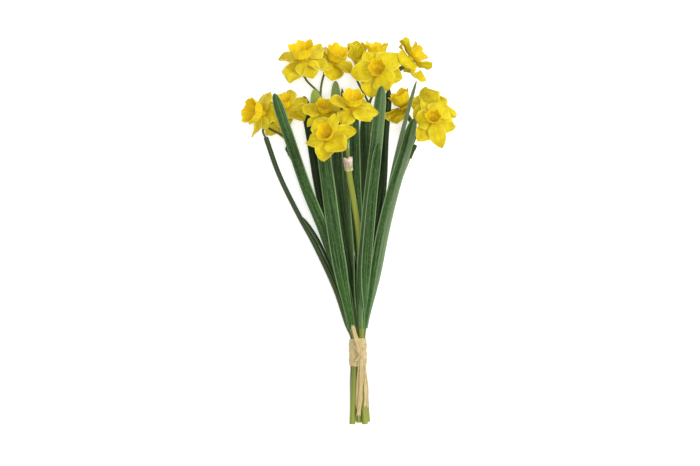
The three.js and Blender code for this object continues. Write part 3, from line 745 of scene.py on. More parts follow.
def round_rings(centres, alongs, radii, sides, flute=0.0, flutes=6):
    """Rings round a way, carried along it without twisting."""
    side = np.cross(alongs[0], [0, 0, 1])
    angles = 2 * math.pi * np.arange(sides) / sides
    rings = []
    for centre, along, radius in zip(centres, alongs, radii):
        side = unit(side - along * np.dot(side, along))
        other = np.cross(along, side)
        reach = radius * (1 + flute * np.cos(flutes * angles))
        ring = centre + np.outer(reach * np.cos(angles), side) + np.outer(reach * np.sin(angles), other)
        rings.append(ring)
    return rings


# How dark a stem is at its cut end, where the leaves start, in the middle and at the top.
STEM_TONE_SHARES = (0, 0.26, 0.6, 1)
STEM_TONES = {
    "a": (0.1, 0.5, 0.7, 0.6),
    "b": (0.15, 0.5, 0.8, 0.7),
    "c": (0.1, 0.8, 1.0, 1.0),
    "d": (0.05, 0.3, 0.0, 0.1),
    "e": (0.1, 0.5, 0.8, 0.6),
    "f": (0.1, 0.6, 0.9, 0.8),
}
SLIMNESS = {"c": 0.84}  # of a stem that is slimmer than the others above the leaves
# Between these distances from the middle of the tie a stem widens, and then turns slimmer.
WIDENS = (15, 30)
SLIMS = (90, 150)
SCAPE_ROWS = 150
SCAPE_SIDES = 20
SCAPE_FLUTE = 0.022
SCAPE_TOP_TAPER = 0.8
# The hollow in a cut end from its bottom to its lip: how deep, how wide and how dark, the darker green
# deep inside being painted shade.
CUT_HOLLOW = ((3.0, 0.99, 0.4), (0.2, 1.1, 0.1), (0.0, 1.265, 0.0))


def add_scape(body, name):
    """The leafless stalk, faintly fluted, with a hollow in its cut end that is darkened inside by painted
    shade.
    """
    way = stem_way(name)
    along_share = np.linspace(0, 1, SCAPE_ROWS)
    shares = [way.share(u) for u in along_share]
    centres = [way.point(t) for t in shares]
    alongs = [way.tangent(t) for t in shares]
    from_tie = [abs(sheet_y(c) - (TIE_TOP + TIE_BOTTOM) / 2) for c in centres]
    free_radius = STEM_RADIUS * SLIMNESS.get(name, 1)
    radii = []
    for distance in from_tie:
        radius = mix(STEM_TIED_RADIUS, STEM_RADIUS, smooth(distance, *WIDENS))
        radii.append(mix(radius, free_radius, smooth(distance, *SLIMS)))
    radii[-1] *= SCAPE_TOP_TAPER
    first = alongs[0]
    # The hollow turns a darker green towards its bottom: painted shade.
    depths, hollow_radii, hollow_shade_tones = zip(*CUT_HOLLOW)
    hollow = [centres[0] + first * depth for depth in depths]
    rings = round_rings(
        hollow + centres, [first] * len(hollow) + alongs, list(hollow_radii) + radii,
        SCAPE_SIDES, SCAPE_FLUTE,
    )
    tones = np.interp(along_share, STEM_TONE_SHARES, STEM_TONES[name])
    lengths = np.concatenate([np.zeros(len(hollow)), way.length * along_share])
    body.loft(rings, lengths, tone=np.concatenate([hollow_shade_tones, tones])[:, None])


def bloom_placing(bloom):
    """Where a bloom stands: a matrix in millimetres, its throat and the way it faces."""
    facing = Vector(bloom["faces"]).normalized()
    rotation = Vector((0, 0, 1)).rotation_difference(facing).to_matrix().to_4x4()
    turned = Matrix.Rotation(math.radians(bloom["turn"]), 4, "Z")
    throat = at(bloom["throat"])
    return Matrix.Translation(Vector(throat * MM)) @ rotation @ turned, throat, np.array(facing)


PEDICEL_SUNK = 3  # how deep a bloom's stalk starts in the top of the scape
PEDICEL_RISE = 0.3  # the share of its length over which it follows the scape's way
NECK_STRAIGHT = 4  # the straight stretch below the ovary


def pedicel_way(bloom):
    """The way of a bloom's own stalk, from inside the scape's top to the neck of the bloom."""
    way = stem_way(bloom["stem"])
    top, upwards = way.point(1), way.tangent(1)
    _, throat, facing = bloom_placing(bloom)
    neck = throat - facing * (TUBE_LENGTH * bloom["size"] + GAP)
    below = neck - facing * (OVARY_LENGTH + NECK_STRAIGHT)
    start = top - upwards * PEDICEL_SUNK
    rise = PEDICEL_SUNK + PEDICEL_RISE * np.linalg.norm(start - below)
    return Way([start, start + upwards * rise, below, neck])


def input_socket(tree, name, kind):
    return tree.interface.new_socket(name, in_out="INPUT", socket_type=kind)


def connect(tree, links):
    """Each link has a node and its output, and the node and the input that this goes to."""
    for source, output, target, entry in links:
        tree.links.new(source.outputs[output], target.inputs[entry])


def stalk_tree():
    """Sweeps a round section along a path whose points carry its radius."""
    tree = bpy.data.node_groups.new("Round stalk along a path", "GeometryNodeTree")
    input_socket(tree, "Path", "NodeSocketGeometry")
    input_socket(tree, "Sides", "NodeSocketInt")
    input_socket(tree, "Finish", "NodeSocketMaterial")
    tree.interface.new_socket("Stalk", in_out="OUTPUT", socket_type="NodeSocketGeometry")
    given = tree.nodes.new("NodeGroupInput")
    made = tree.nodes.new("NodeGroupOutput")
    section = tree.nodes.new("GeometryNodeCurvePrimitiveCircle")
    section.inputs["Radius"].default_value = 1.0
    sweep = tree.nodes.new("GeometryNodeCurveToMesh")
    sweep.inputs["Fill Caps"].default_value = True
    radius = tree.nodes.new("GeometryNodeInputRadius")
    real = tree.nodes.new("GeometryNodeRealizeInstances")
    paint = tree.nodes.new("GeometryNodeSetMaterial")
    connect(tree, (
        (given, "Path", sweep, "Curve"),
        (radius, "Radius", sweep, "Scale"),
        (given, "Sides", section, "Resolution"),
        (section, "Curve", sweep, "Profile Curve"),
        (sweep, "Mesh", real, "Geometry"),
        (real, "Geometry", paint, "Geometry"),
        (given, "Finish", paint, "Material"),
        (paint, "Geometry", made, "Stalk"),
    ))
    return tree


def made_by(tree, start, **values):
    """The mesh that a tree makes of an object's data, with the tree's named inputs set."""
    maker = bpy.data.objects.new("maker", start)
    bpy.context.scene.collection.objects.link(maker)
    modifier = maker.modifiers.new("maker", "NODES")
    modifier.node_group = tree
    for item in tree.interface.items_tree:
        if item.item_type == "SOCKET" and item.in_out == "INPUT" and item.name in values:
            modifier[item.identifier] = values[item.name]
    bpy.context.view_layer.update()
    seen = maker.evaluated_get(bpy.context.evaluated_depsgraph_get())
    data = bpy.data.meshes.new_from_object(seen)
    bpy.data.objects.remove(maker)
    return data


def path_of(ways):
    """One curve of polylines, each given as points in millimetres and radii."""
    data = bpy.data.curves.new("paths", "CURVE")
    data.dimensions = "3D"
    for points, radii in ways:
        spline = data.splines.new("POLY")
        spline.points.add(len(points) - 1)
        places = np.concatenate([np.asarray(points) * MM, np.ones((len(points), 1))], axis=1)
        spline.points.foreach_set("co", places.reshape(-1))
        spline.points.foreach_set("radius", np.asarray(radii, float) * MM)
    return data


def join_meshes(name, meshes):
    """One mesh of several, with their patterns and tones kept."""
    pieces = [bpy.data.objects.new(name, data) for data in meshes]
    for piece in pieces:
        bpy.context.scene.collection.objects.link(piece)
    with bpy.context.temp_override(
        active_object=pieces[0], selected_editable_objects=pieces, selected_objects=pieces
    ):
        bpy.ops.object.join()
    data = pieces[0].data
    bpy.data.objects.remove(pieces[0])
    return data


PEDICEL_TONE = 0.75
PEDICEL_TONES = {"d": 0.3}  # of a stem whose bloom stalks are paler than the others
PEDICEL_SIDES = 14
PEDICEL_ROWS = 16
OVARY_ROWS = 18
OVARY_START = 1.35  # how far below the neck it starts, in its own lengths
OVARY_SPAN = 1.15
OVARY_ROUNDNESS = 0.8


def pedicel_paths(name):
    """The stalk and ovary of each bloom on a stem."""
    paths = []
    for bloom in (b for b in BLOOMS if b["stem"] == name):
        way = pedicel_way(bloom)
        ovary = OVARY_LENGTH / way.length
        stalk = np.linspace(0, 1 - 1.5 * ovary, PEDICEL_ROWS)
        shares = np.concatenate([stalk, 1 - ovary * np.linspace(1.4, 0, OVARY_ROWS)])
        into = np.clip((shares - 1 + OVARY_START * ovary) / (OVARY_SPAN * ovary), 0, 1)
        swell = np.sin(math.pi * into) ** OVARY_ROUNDNESS
        thin = mix(PEDICEL_RADIUS, TUBE_RADIUS, smooth(shares, 1 - ovary, 1))
        points = [way.point(way.share(u)) for u in shares]
        paths.append((points, thin + (OVARY_RADIUS - thin) * swell))
    return paths


def add_stems(material):
    """Each stem is one piece: its scape with the stalk and the ovary of every bloom on it."""
    tree = stalk_tree()
    for name in STEMS:
        body = Body()
        add_scape(body, name)
        scape = body.mesh(f"scape_{name}")
        stalks = made_by(tree, path_of(pedicel_paths(name)), Sides=PEDICEL_SIDES, Finish=material)
        tone = PEDICEL_TONES.get(name, PEDICEL_TONE)
        layer = stalks.attributes.new("tone", "FLOAT", "POINT")
        layer.data.foreach_set("value", np.full(len(stalks.vertices), tone))
        stalks.shade_smooth()
        joined = join_meshes(f"scape_{name}", [scape, stalks])
        add_piece(f"scape_{name}", joined, material, [f"stem_{name}"])


# Sheaths

SHEATH_SIDES = 48
SHEATH_ROWS = 22
SHEATH_CLEARANCE = 0.75
SHEATH_WALL = 0.45
SHEATH_FLARE = 0.8
SHEATH_TONES = {"a": 0.8, "b": 0.95, "d": 0.0, "e": 1.0, "f": 1.0}


def sheath_crease(angles, share, number):
    """How far the paper stands out or in, which grows towards the sheath's mouth."""
    folds = 0.28 * np.sin(3 * angles + 4 * share + number)
    folds += 0.16 * np.sin(7 * angles - 4 * share) + 0.2 * np.sin(18 * share + 2 * angles)
    return folds * (0.4 + 0.6 * share)


def add_sheaths(material):
    """A crumpled papery tube round the top of a stem, torn at its upper edge."""
    angles = 2 * math.pi * np.arange(SHEATH_SIDES) / SHEATH_SIDES
    shares = np.linspace(0, 1, SHEATH_ROWS + 1)
    for number, (name, tone) in enumerate(SHEATH_TONES.items()):
        way = stem_way(name)
        torn = 1.0 + 1.6 * np.cos(angles - 1.2) + 0.9 * np.sin(5 * angles + number)
        walls = []
        for wall in (0.0, SHEATH_WALL):
            rows = []
            for share in shares:
                t = way.share(1 - mix(SPATHE_LENGTH, 0, share) / way.length)
                centre, along = way.point(t), way.tangent(t)
                side = unit(np.cross(along, look(0)))
                out = np.cross(side, along)
                radius = STEM_RADIUS + SHEATH_CLEARANCE + wall + SHEATH_FLARE * share
                radius = radius + sheath_crease(angles, share, number)
                points = centre + np.outer(radius * np.cos(angles), side)
                points += np.outer(radius * np.sin(angles), out) + np.outer(share**2 * torn, along)
                rows.append(points)
            walls.append(rows)
        rings = walls[1] + walls[0][::-1]
        body = Body()
        body.loft(rings, np.concatenate([shares, shares[::-1]]), endless=True, tone=tone)
        add_piece(f"sheath_{name}", body.mesh(f"sheath_{name}"), material, [f"spathe_{name}"])


# Leaves

LEAF_ACROSS = np.linspace(-1, 1, 13)
LEAF_ROWS = 110
LEAF_TIP_ROWS = 24
LEAF_CLEARANCE = 0.25
LEAF_RISE = 12  # a leaf leaves its stem between its start and this far above it
LEAF_LIFT = 0.4
LEAF_MIDDLE = 0.4  # the share of its length by which it has turned to its second look
LEAF_TAPER = 0.88
LEAF_EDGE_THINNING = 0.65
LEAF_TIP_THICKNESS = 0.45
LEAF_WAVE = 0.35
LEAF_KEEL = 0.35
LEAF_KEEL_WIDTH = 0.16
TIP_TONE_SPAN = (0.84, 0.97)
HIGHLIGHT_RIDGE_PLACE = 0.55  # a painted highlight ridge beside the side with painted light, as a share of the blade's width
HIGHLIGHT_RIDGE_WIDTH = 0.05
HIGHLIGHT_RIDGE_TONE = 1.5
# Where the painted light on a blade's right-hand side grows in, as a share of its width.
PAINTED_LIGHT_SPAN = (0.56, 0.78)


def there_and_back(v):
    """The places across a blade, from 0 to 1 on its face and back again on its other face."""
    return (np.concatenate([v, v[::-1]]) + 1) / 2


def leaf_way(leaf, clasp):
    """The way of a leaf's middle line, which starts against its stem."""
    stem = stem_way(leaf["stem"])
    foot = [(LEAVES_START, 0), (LEAVES_START - LEAF_RISE, LEAF_LIFT)]
    out = look(leaf["looks"][0])
    start = [stem.point(stem.at_sheet_y(height)) + out * (clasp + lift) for height, lift in foot]
    return Way(start + [at(place) for place in leaf["way"]])


def leaf_tones(leaf, shares, across):
    """How dark, pale or fresh a blade is, row by row and across each row, with painted light on its
    right-hand side as a paler band and a pale ridge.
    """
    lengthwise = mix(leaf["tone"], leaf.get("tip_tone", leaf["tone"]), smooth(shares, *TIP_TONE_SPAN))
    highlight_ridge = np.exp(-(((across - HIGHLIGHT_RIDGE_PLACE) / HIGHLIGHT_RIDGE_WIDTH) ** 2))
    # The paler right-hand side and its pale ridge are painted light, as from the lamp on the right.
    painted_light = leaf.get("painted_light_side", 0) * (HIGHLIGHT_RIDGE_TONE * highlight_ridge + smooth(across, *PAINTED_LIGHT_SPAN))
    return lengthwise[:, None] + painted_light


def leaf_body(leaf, number):
    """A strap leaf: it clasps its stem at the foot, opens, and ends in a rounded tip."""
    clasp = STEM_RADIUS + GAP + LEAF_CLEARANCE + LEAF_THICKNESS / 2
    looks = leaf["looks"]
    way = leaf_way(leaf, clasp)
    tip_share = LEAF_TIP_LENGTH / way.length
    body_shares = np.linspace(0, 1 - tip_share, LEAF_ROWS - LEAF_TIP_ROWS, endpoint=False)
    tip_shares = 1 - tip_share * np.cos(np.linspace(0, math.pi / 2, LEAF_TIP_ROWS))
    shares = np.concatenate([body_shares, tip_shares])
    rows = []
    v = LEAF_ACROSS
    for u in shares:
        t = way.share(u)
        centre, along = way.point(t), way.tangent(t)
        angle = mix(looks[0], looks[1], smooth(u, 0.02, LEAF_MIDDLE))
        if u >= LEAF_MIDDLE:
            angle = mix(looks[1], looks[2], (u - LEAF_MIDDLE) / (1 - LEAF_MIDDLE))
        side = unit(np.cross(along, look(angle)))
        out = np.cross(side, along)
        roll = mix(clasp, LEAF_CHANNEL_RADIUS, smooth(u, 0.02, 0.3))
        into_tip = max(0, 1 - (1 - u) / tip_share)
        rounding = math.sqrt(max(0.004, 1 - into_tip**2)) * mix(1, LEAF_TAPER, smooth(u, 0.5, 1))
        half = mix(leaf.get("foot", LEAF_FOOT), leaf["width"], smooth(u, 0, 0.3)) * rounding / 2
        wave = LEAF_WAVE * math.sin(9 * u + number) * smooth(u, 0.2, 0.5)
        keel = LEAF_KEEL * np.exp(-((v / LEAF_KEEL_WIDTH) ** 2)) * smooth(u, 0.05, 0.2) * rounding
        thickness = LEAF_THICKNESS * (1 - LEAF_EDGE_THINNING * v * v)
        thickness = thickness * mix(LEAF_TIP_THICKNESS, 1, rounding)
        bend = v * half / roll
        faces = []
        for face, relief in ((1, 0.0), (-1, 1.0)):
            radius = roll + face * thickness / 2 - relief * keel + wave * v * v * np.sign(v)
            points = centre + np.outer(radius * np.sin(bend), side)
            faces.append(points + np.outer(radius * np.cos(bend) - roll, out))
        rows.append(np.concatenate([faces[0], faces[1][::-1]]))
    across = there_and_back(v)
    body = Body()
    body.loft(rows, shares * way.length, across, tone=leaf_tones(leaf, shares, across))
    return body


def add_leaves(material):
    """One blade for each leaf of the layout."""
    for number, leaf in enumerate(LEAVES):
        name = f"{number + 1:02d}"
        data = leaf_body(leaf, number).mesh(f"blade_{name}")
        add_piece(f"blade_{name}", data, material, [f"leaf_{name}"])


# Blooms

TEPALS = 6
TEPAL_ACROSS = np.linspace(-1, 1, 17)
TEPAL_ROWS = 30
TEPAL_THICKNESS = 0.55
TEPAL_EDGE = 0.35  # half the width of its tip
TEPAL_LAYER_LEAN = 4  # degrees by which the inner three lean forwards and the outer three back
TEPAL_SWAY = 7  # degrees
TEPAL_STRAY = 6  # degrees off its place in the ring
TEPAL_TWIST = 1.3
TEPAL_CURL = 0.6
LENGTH_VARIES = 0.06
WIDTH_VARIES = 0.12
# Heights of the forms on a tepal's surface.
CRUMPLE = 2.3
RUFFLE = 1.1
GROOVE = 0.55
FINE_RIBS = 0.22
CROWN = 0.09  # a share of half its width, as the ripple of its outline is
OUTLINE_RIPPLE = 0.09
SIDEWAYS_BEND = 2.2


def wander(places, seed):
    """Smooth noise between about -1 and 1 at each place."""
    return np.array([noise.noise(Vector((x, y, seed * 7.3))) for x, y in places])


def own(number, k, by_bloom, by_tepal):
    """A value between -1 and 1 that is each tepal's own."""
    return math.sin(number * by_bloom + k * by_tepal)


def tepal_rise(grid_s, grid_v, half, twist, size, seed):
    """How far a tepal's surface stands out from its bent middle line, row by row."""
    places = np.stack([grid_s.ravel() * 2.6, grid_v.ravel() * 1.3], axis=1)
    crumple = wander(places, seed).reshape(grid_s.shape)
    inside = np.sin(math.pi * np.minimum(1, grid_s * 1.05)) ** 0.7
    phase = 2 * math.pi * (1.5 * grid_s + 0.37 * seed + 0.23 * np.sign(grid_v))
    rise = CROWN * half * grid_v**2 + twist * grid_s * grid_v
    rise += CRUMPLE * crumple * grid_s**0.7 * size
    rise += RUFFLE * np.abs(grid_v) ** 2.2 * inside * np.sin(phase)
    rise -= GROOVE * np.exp(-((grid_v / 0.2) ** 2)) * inside
    rise += FINE_RIBS * np.cos(grid_v * 9 + 2 * grid_s) * inside
    return rise


def tepal_half_width(grid_s, grid_v, width, seed):
    """Half the width of a tepal, which is an oval with an uneven outline."""
    ovate = np.clip(np.sin(math.pi * np.clip(grid_s, 0, 1) ** 0.85), 0, 1) ** 0.66
    half = np.maximum(np.where(grid_s > 0.9, TEPAL_EDGE, TEPAL_FOOT), width * ovate)
    places = np.stack([grid_s.ravel() * 2.6 * 1.9, np.zeros(grid_s.size)], axis=1)
    ripple = wander(places, seed + 50).reshape(grid_s.shape)
    return half * (1 + OUTLINE_RIPPLE * ripple * np.sign(grid_v))


def tepal_surface(bloom, number, k):
    """The middle surface of one tepal about +Z, in rows from its root to its tip."""
    inner = k % 2
    size = bloom["size"]
    change = bloom["tepals"].get(k, {})
    sway = TEPAL_SWAY * own(number, k, 2.1, 2.4)
    root = bloom["lean"][0] + (TEPAL_LAYER_LEAN if inner else -TEPAL_LAYER_LEAN)
    root = math.radians(root + 0.3 * sway + change.get("root", 0))
    tip = math.radians(bloom["lean"][1] + sway + change.get("tip", 0))
    if abs(tip - root) < 1e-3:
        tip = root + 1e-3
    twist = TEPAL_TWIST * own(number, k, 1.3, 1.9) + change.get("twist", 0)
    stray = TEPAL_STRAY * own(number, k, 1.7, 2.9)
    azimuth = math.radians(360 / TEPALS * k + stray + change.get("spin", 0))
    length = TEPAL_LENGTH * size * (1 + LENGTH_VARIES * own(number, k, 2.3, 4.1))
    length *= change.get("length", 1)
    width = TEPAL_WIDTH / 2 * size * (1 + WIDTH_VARIES * own(number, k, 3.7, 1.3))
    width *= change.get("width", 1)
    seed = number * TEPALS + k

    s = 1 - (1 - np.linspace(0, 1, TEPAL_ROWS)) ** 1.25
    v = TEPAL_ACROSS
    grid_s, grid_v = np.meshgrid(s, v, indexing="ij")
    slope = mix(root, tip, grid_s)
    reach = TEPAL_ROOT + length * (np.sin(slope) - math.sin(root)) / (tip - root)
    height = length * (math.cos(root) - np.cos(slope)) / (tip - root)
    height += TEPAL_LIFT["inner" if inner else "outer"]
    half = tepal_half_width(grid_s, grid_v, width, seed)
    rise = tepal_rise(grid_s, grid_v, half, twist, size, seed)
    turn = grid_v * TEPAL_CURL * own(number, k, 3.1, 4.7) * grid_s
    safe = np.where(np.abs(turn) < 1e-4, 1e-4, turn)
    sideways = half * grid_v * np.sin(safe) / safe + SIDEWAYS_BEND * math.sin(seed * 1.7) * grid_s**2
    rise += half * grid_v * (1 - np.cos(safe)) / safe
    x, y, z = reach - np.sin(slope) * rise, sideways, height + np.cos(slope) * rise
    c, d = math.cos(azimuth), math.sin(azimuth)
    return np.stack([c * x - d * y, d * x + c * y, z], axis=-1), s, v


def add_blade(body, middle, s, v, thickness):
    """A thin blade about its middle surface, with fine edges."""
    down = np.gradient(middle, axis=0)
    over = np.gradient(middle, axis=1)
    normal = np.cross(down, over)
    normal /= np.maximum(np.linalg.norm(normal, axis=-1, keepdims=True), 1e-9)
    fine = (thickness * (1 - 0.7 * v**4) / 2)[None, :, None]
    front, back = middle + normal * fine, middle - normal * fine
    rings = np.concatenate([front, back[:, ::-1]], axis=1)
    body.loft(rings, s, there_and_back(v))


TUBE_SIDES = 18
TUBE_ROWS = 8
TUBE_FLARE = 2.2
TUBE_END = -1.6  # where the tube has flared to the width of the throat
THROAT_RIM = 0.6


def add_tube(body, size):
    """The floral tube behind the tepals, which flares into the throat."""
    angles = 2 * math.pi * np.arange(TUBE_SIDES) / TUBE_SIDES
    neck = -TUBE_LENGTH * size
    profile = [(TUBE_RADIUS * 0.9, neck), (TUBE_RADIUS, neck + 0.5)]
    for share in np.linspace(0.1, 1, TUBE_ROWS):
        radius = mix(TUBE_RADIUS, THROAT_RADIUS, share**TUBE_FLARE)
        profile.append((radius, mix(neck, TUBE_END, share)))
    profile += [(THROAT_RADIUS, THROAT_RIM), (THROAT_RADIUS * 0.9, THROAT_TOP)]
    rings = [
        np.stack([r * np.cos(angles), r * np.sin(angles), np.full(TUBE_SIDES, z)], axis=1)
        for r, z in profile
    ]
    body.loft(rings, np.linspace(0, 0.12, len(rings)))


CUP_SIDES = 108
CUP_ROWS = 16
CUP_WALL = 0.55
CUP_FLOOR_SHARE = 0.06
CUP_LOBES = 6
CUP_RIBS = 36


def cup_rings(size, number):
    """The cup: its wall flares from a closed floor to a frilled rim."""
    floor = THROAT_TOP + GAP
    angles = 2 * math.pi * np.arange(CUP_SIDES) / CUP_SIDES
    places = np.stack([1.6 * np.cos(angles), 1.6 * np.sin(angles)], axis=1)
    ragged = wander(places * 2.2, number + 200)
    crumple = wander(places, number + 300)
    lobe = np.cos(CUP_LOBES * angles)
    sway = np.sin(2 * angles + number)
    frill = 0.5 * np.sin(15 * angles + number) + 0.35 * np.sin(23 * angles + 2 * number)

    def ring(share, wall):
        height = floor + CORONA_HEIGHT * size * share
        waist = CORONA_WAIST_HEIGHT / CORONA_HEIGHT
        if share < waist:
            part = share / waist
            base = CORONA_BASE_RADIUS / max(1, size)
            radius = mix(base, CORONA_WAIST_RADIUS, math.sin(part * math.pi / 2))
        else:
            part = (share - waist) / (1 - waist)
            radius = mix(CORONA_WAIST_RADIUS, CORONA_RIM_RADIUS, part**1.5)
        open_share = share**3
        r = size * radius * (1 + 0.06 * sway * open_share) + 0.6 * lobe * open_share
        r = r + 0.5 * crumple * share + (0.35 * frill + 0.4 * ragged) * share**4
        r = r + 0.14 * np.cos(CUP_RIBS * angles) * share - wall
        z = height + (0.9 * lobe + 0.6 * sway + 0.55 * frill + 1.1 * ragged) * share**4
        return np.stack([r * np.cos(angles), r * np.sin(angles), np.broadcast_to(z, r.shape)], axis=1)

    up, down = np.linspace(0, 1, CUP_ROWS), np.linspace(1, CUP_FLOOR_SHARE, CUP_ROWS)
    rings = [ring(share, 0.0) for share in up] + [ring(share, CUP_WALL) for share in down]
    return rings, np.concatenate([up, down])


STAMENS = 6
STAMEN_LENGTH = 5.2
STAMEN_RING_RADIUS = 1.9
STAMEN_START = 0.4  # above the underside of the cup's floor
FILAMENT_RADII = (0.4, 0.25)
ANTHER_SIZE = 1.25
ANTHER_SHAPE = (0.42, 0.42, 1.25)


def stamen_tree():
    """Stamens in a ring: a filament with an anther on its end, repeated round the axis."""
    tree = bpy.data.node_groups.new("Ring of stamens", "GeometryNodeTree")
    for name in ("Length", "Ring radius", "Anther size"):
        input_socket(tree, name, "NodeSocketFloat")
    input_socket(tree, "Stamens", "NodeSocketInt")
    input_socket(tree, "Finish", "NodeSocketMaterial")
    tree.interface.new_socket("Stamens", in_out="OUTPUT", socket_type="NodeSocketGeometry")
    given = tree.nodes.new("NodeGroupInput")
    made = tree.nodes.new("NodeGroupOutput")
    ring = tree.nodes.new("GeometryNodeMeshCircle")
    filament = tree.nodes.new("GeometryNodeMeshCone")
    filament.inputs["Vertices"].default_value = 8
    filament.inputs["Radius Bottom"].default_value = FILAMENT_RADII[0] * MM
    filament.inputs["Radius Top"].default_value = FILAMENT_RADII[1] * MM
    anther = tree.nodes.new("GeometryNodeMeshUVSphere")
    anther.inputs["Segments"].default_value = 12
    anther.inputs["Rings"].default_value = 10
    lifted = tree.nodes.new("GeometryNodeTransform")
    lifted.inputs["Scale"].default_value = ANTHER_SHAPE
    raise_to = tree.nodes.new("ShaderNodeCombineXYZ")
    both = tree.nodes.new("GeometryNodeJoinGeometry")
    repeat = tree.nodes.new("GeometryNodeInstanceOnPoints")
    real = tree.nodes.new("GeometryNodeRealizeInstances")
    paint = tree.nodes.new("GeometryNodeSetMaterial")
    connect(tree, (
        (given, "Stamens", ring, "Vertices"),
        (given, "Ring radius", ring, "Radius"),
        (given, "Length", filament, "Depth"),
        (given, "Anther size", anther, "Radius"),
        (given, "Length", raise_to, "Z"),
        (raise_to, "Vector", lifted, "Translation"),
        (anther, "Mesh", lifted, "Geometry"),
        (lifted, "Geometry", both, "Geometry"),
        (filament, "Mesh", both, "Geometry"),
        (ring, "Mesh", repeat, "Points"),
        (both, "Geometry", repeat, "Instance"),
        (repeat, "Instances", real, "Geometry"),
        (real, "Geometry", paint, "Geometry"),
        (given, "Finish", paint, "Material"),
        (paint, "Geometry", made, "Stamens"),
    ))
    return tree


def add_blooms(petals, cups, anthers):
    """Each bloom is a tube with its tepals, a cup, and a ring of stamens in it."""
    stamens = stamen_tree()
    for number, bloom in enumerate(BLOOMS):
        name = f"{number + 1:02d}"
        placing, _, _ = bloom_placing(bloom)
        flower = Body()
        add_tube(flower, bloom["size"])
        for k in range(TEPALS):
            add_blade(flower, *tepal_surface(bloom, number, k), TEPAL_THICKNESS)
        data = flower.mesh(f"petals_{name}", placing)
        add_piece(f"petals_{name}", data, petals, [f"perianth_{name}"])
        cup = Body()
        cup.loft(*cup_rings(bloom["cup"], number))
        data = cup.mesh(f"cup_{name}", placing)
        add_piece(f"cup_{name}", data, cups, [f"corona_{name}"])
        values = {
            "Length": STAMEN_LENGTH * bloom["cup"] * MM, "Ring radius": STAMEN_RING_RADIUS * MM,
            "Anther size": ANTHER_SIZE * MM, "Stamens": STAMENS, "Finish": anthers,
        }
        data = made_by(stamens, bpy.data.meshes.new("empty seat"), **values)
        data.shade_smooth()
        start = THROAT_TOP + GAP + STAMEN_START
        data.transform(placing @ Matrix.Translation((0, 0, start * MM)))
        data.name = f"stamens_{name}"
        add_piece(f"stamens_{name}", data, anthers, [])


# The tie

# Each turn of raffia has the height of its middle on the sheet, its width, its tilt, the share
# of the way round where it is highest, and its layer (0 against the stems, 1 over the others).
WRAP_BANDS = [
    (343.0, 6.0, 0.8, 0.1, 0),
    (348.0, 6.2, 1.6, 0.3, 0),
    (352.5, 6.0, 2.2, 0.5, 0),
    (357.0, 6.2, 1.8, 0.2, 0),
    (361.5, 6.0, 1.2, 0.7, 0),
    (365.0, 5.6, 0.6, 0.4, 0),
    (346.5, 4.6, 2.6, 0.62, 1),
    (354.0, 5.0, 4.6, 0.58, 1),
    (360.5, 4.4, 3.4, 0.15, 1),
]
WRAP_LENGTH = 58  # once round the stems
RING_STEMS = 5
ARC_HALF = 180 / RING_STEMS
ARC_SHARE = 0.6  # of the way from one stem to the next, the part that is bent round the stem
BAND_STEPS = 72
BAND_ACROSS = np.linspace(-1, 1, 9)
BAND_THICKNESS = 0.42
BAND_CLEARANCE = 0.25
BAND_CROWN = 0.5
BAND_RIBS = 0.1


def hull_place(share, height, outside):
    """A place round the outer stems, at a share of the way round."""
    turns = sorted(stem["turn"] for stem in STEMS.values() if stem["ring"])
    place = (share % 1.0) * RING_STEMS
    index = int(place) % RING_STEMS
    within = place - int(place)
    x, z = ring_place(TIE_CENTRE, RING_TIED, turns[index])
    angle = turns[index] + mix(-ARC_HALF, ARC_HALF, min(1, within / ARC_SHARE))
    if within > ARC_SHARE:
        next_x, next_z = ring_place(TIE_CENTRE, RING_TIED, turns[(index + 1) % RING_STEMS])
        way = (within - ARC_SHARE) / (1 - ARC_SHARE)
        x, z = mix(x, next_x, way), mix(z, next_z, way)
    x, z = ring_place((x, z), STEM_TIED_RADIUS + outside, angle)
    return at((x, height, z))


def add_band(body, band, number):
    """One turn of raffia round the stems."""
    middle, width, tilt, highest, layer = band
    rows = []
    shares = np.arange(BAND_STEPS) / BAND_STEPS
    for share in shares:
        centre = middle - tilt * math.cos(2 * math.pi * (share - highest))
        flutter = 0.3 * math.sin(14 * share * math.pi + number) + 0.2 * math.sin(6 * math.pi * share)
        half = width / 2 * (1 + 0.12 * flutter)
        faces = []
        for face in (1, -1):
            line = []
            for v in BAND_ACROSS:
                crown = BAND_CROWN * (1 - v * v) + BAND_RIBS * math.cos(11 * v + number)
                outside = GAP + BAND_CLEARANCE + BAND_THICKNESS * (layer + face / 2) + crown
                height = np.clip(centre + v * half, TIE_TOP - 1.0, TIE_BOTTOM + 0.5)
                line.append(hull_place(share, height, outside))
            faces.append(line)
        rows.append(faces[0] + faces[1][::-1])
    body.loft(rows, shares * WRAP_LENGTH, there_and_back(BAND_ACROSS), endless=True)


RIBBON_STEPS = 44
RIBBON_THICKNESS = 0.4
RIBBON_CROWN = 0.35
RIBBON_TURN = 16  # degrees


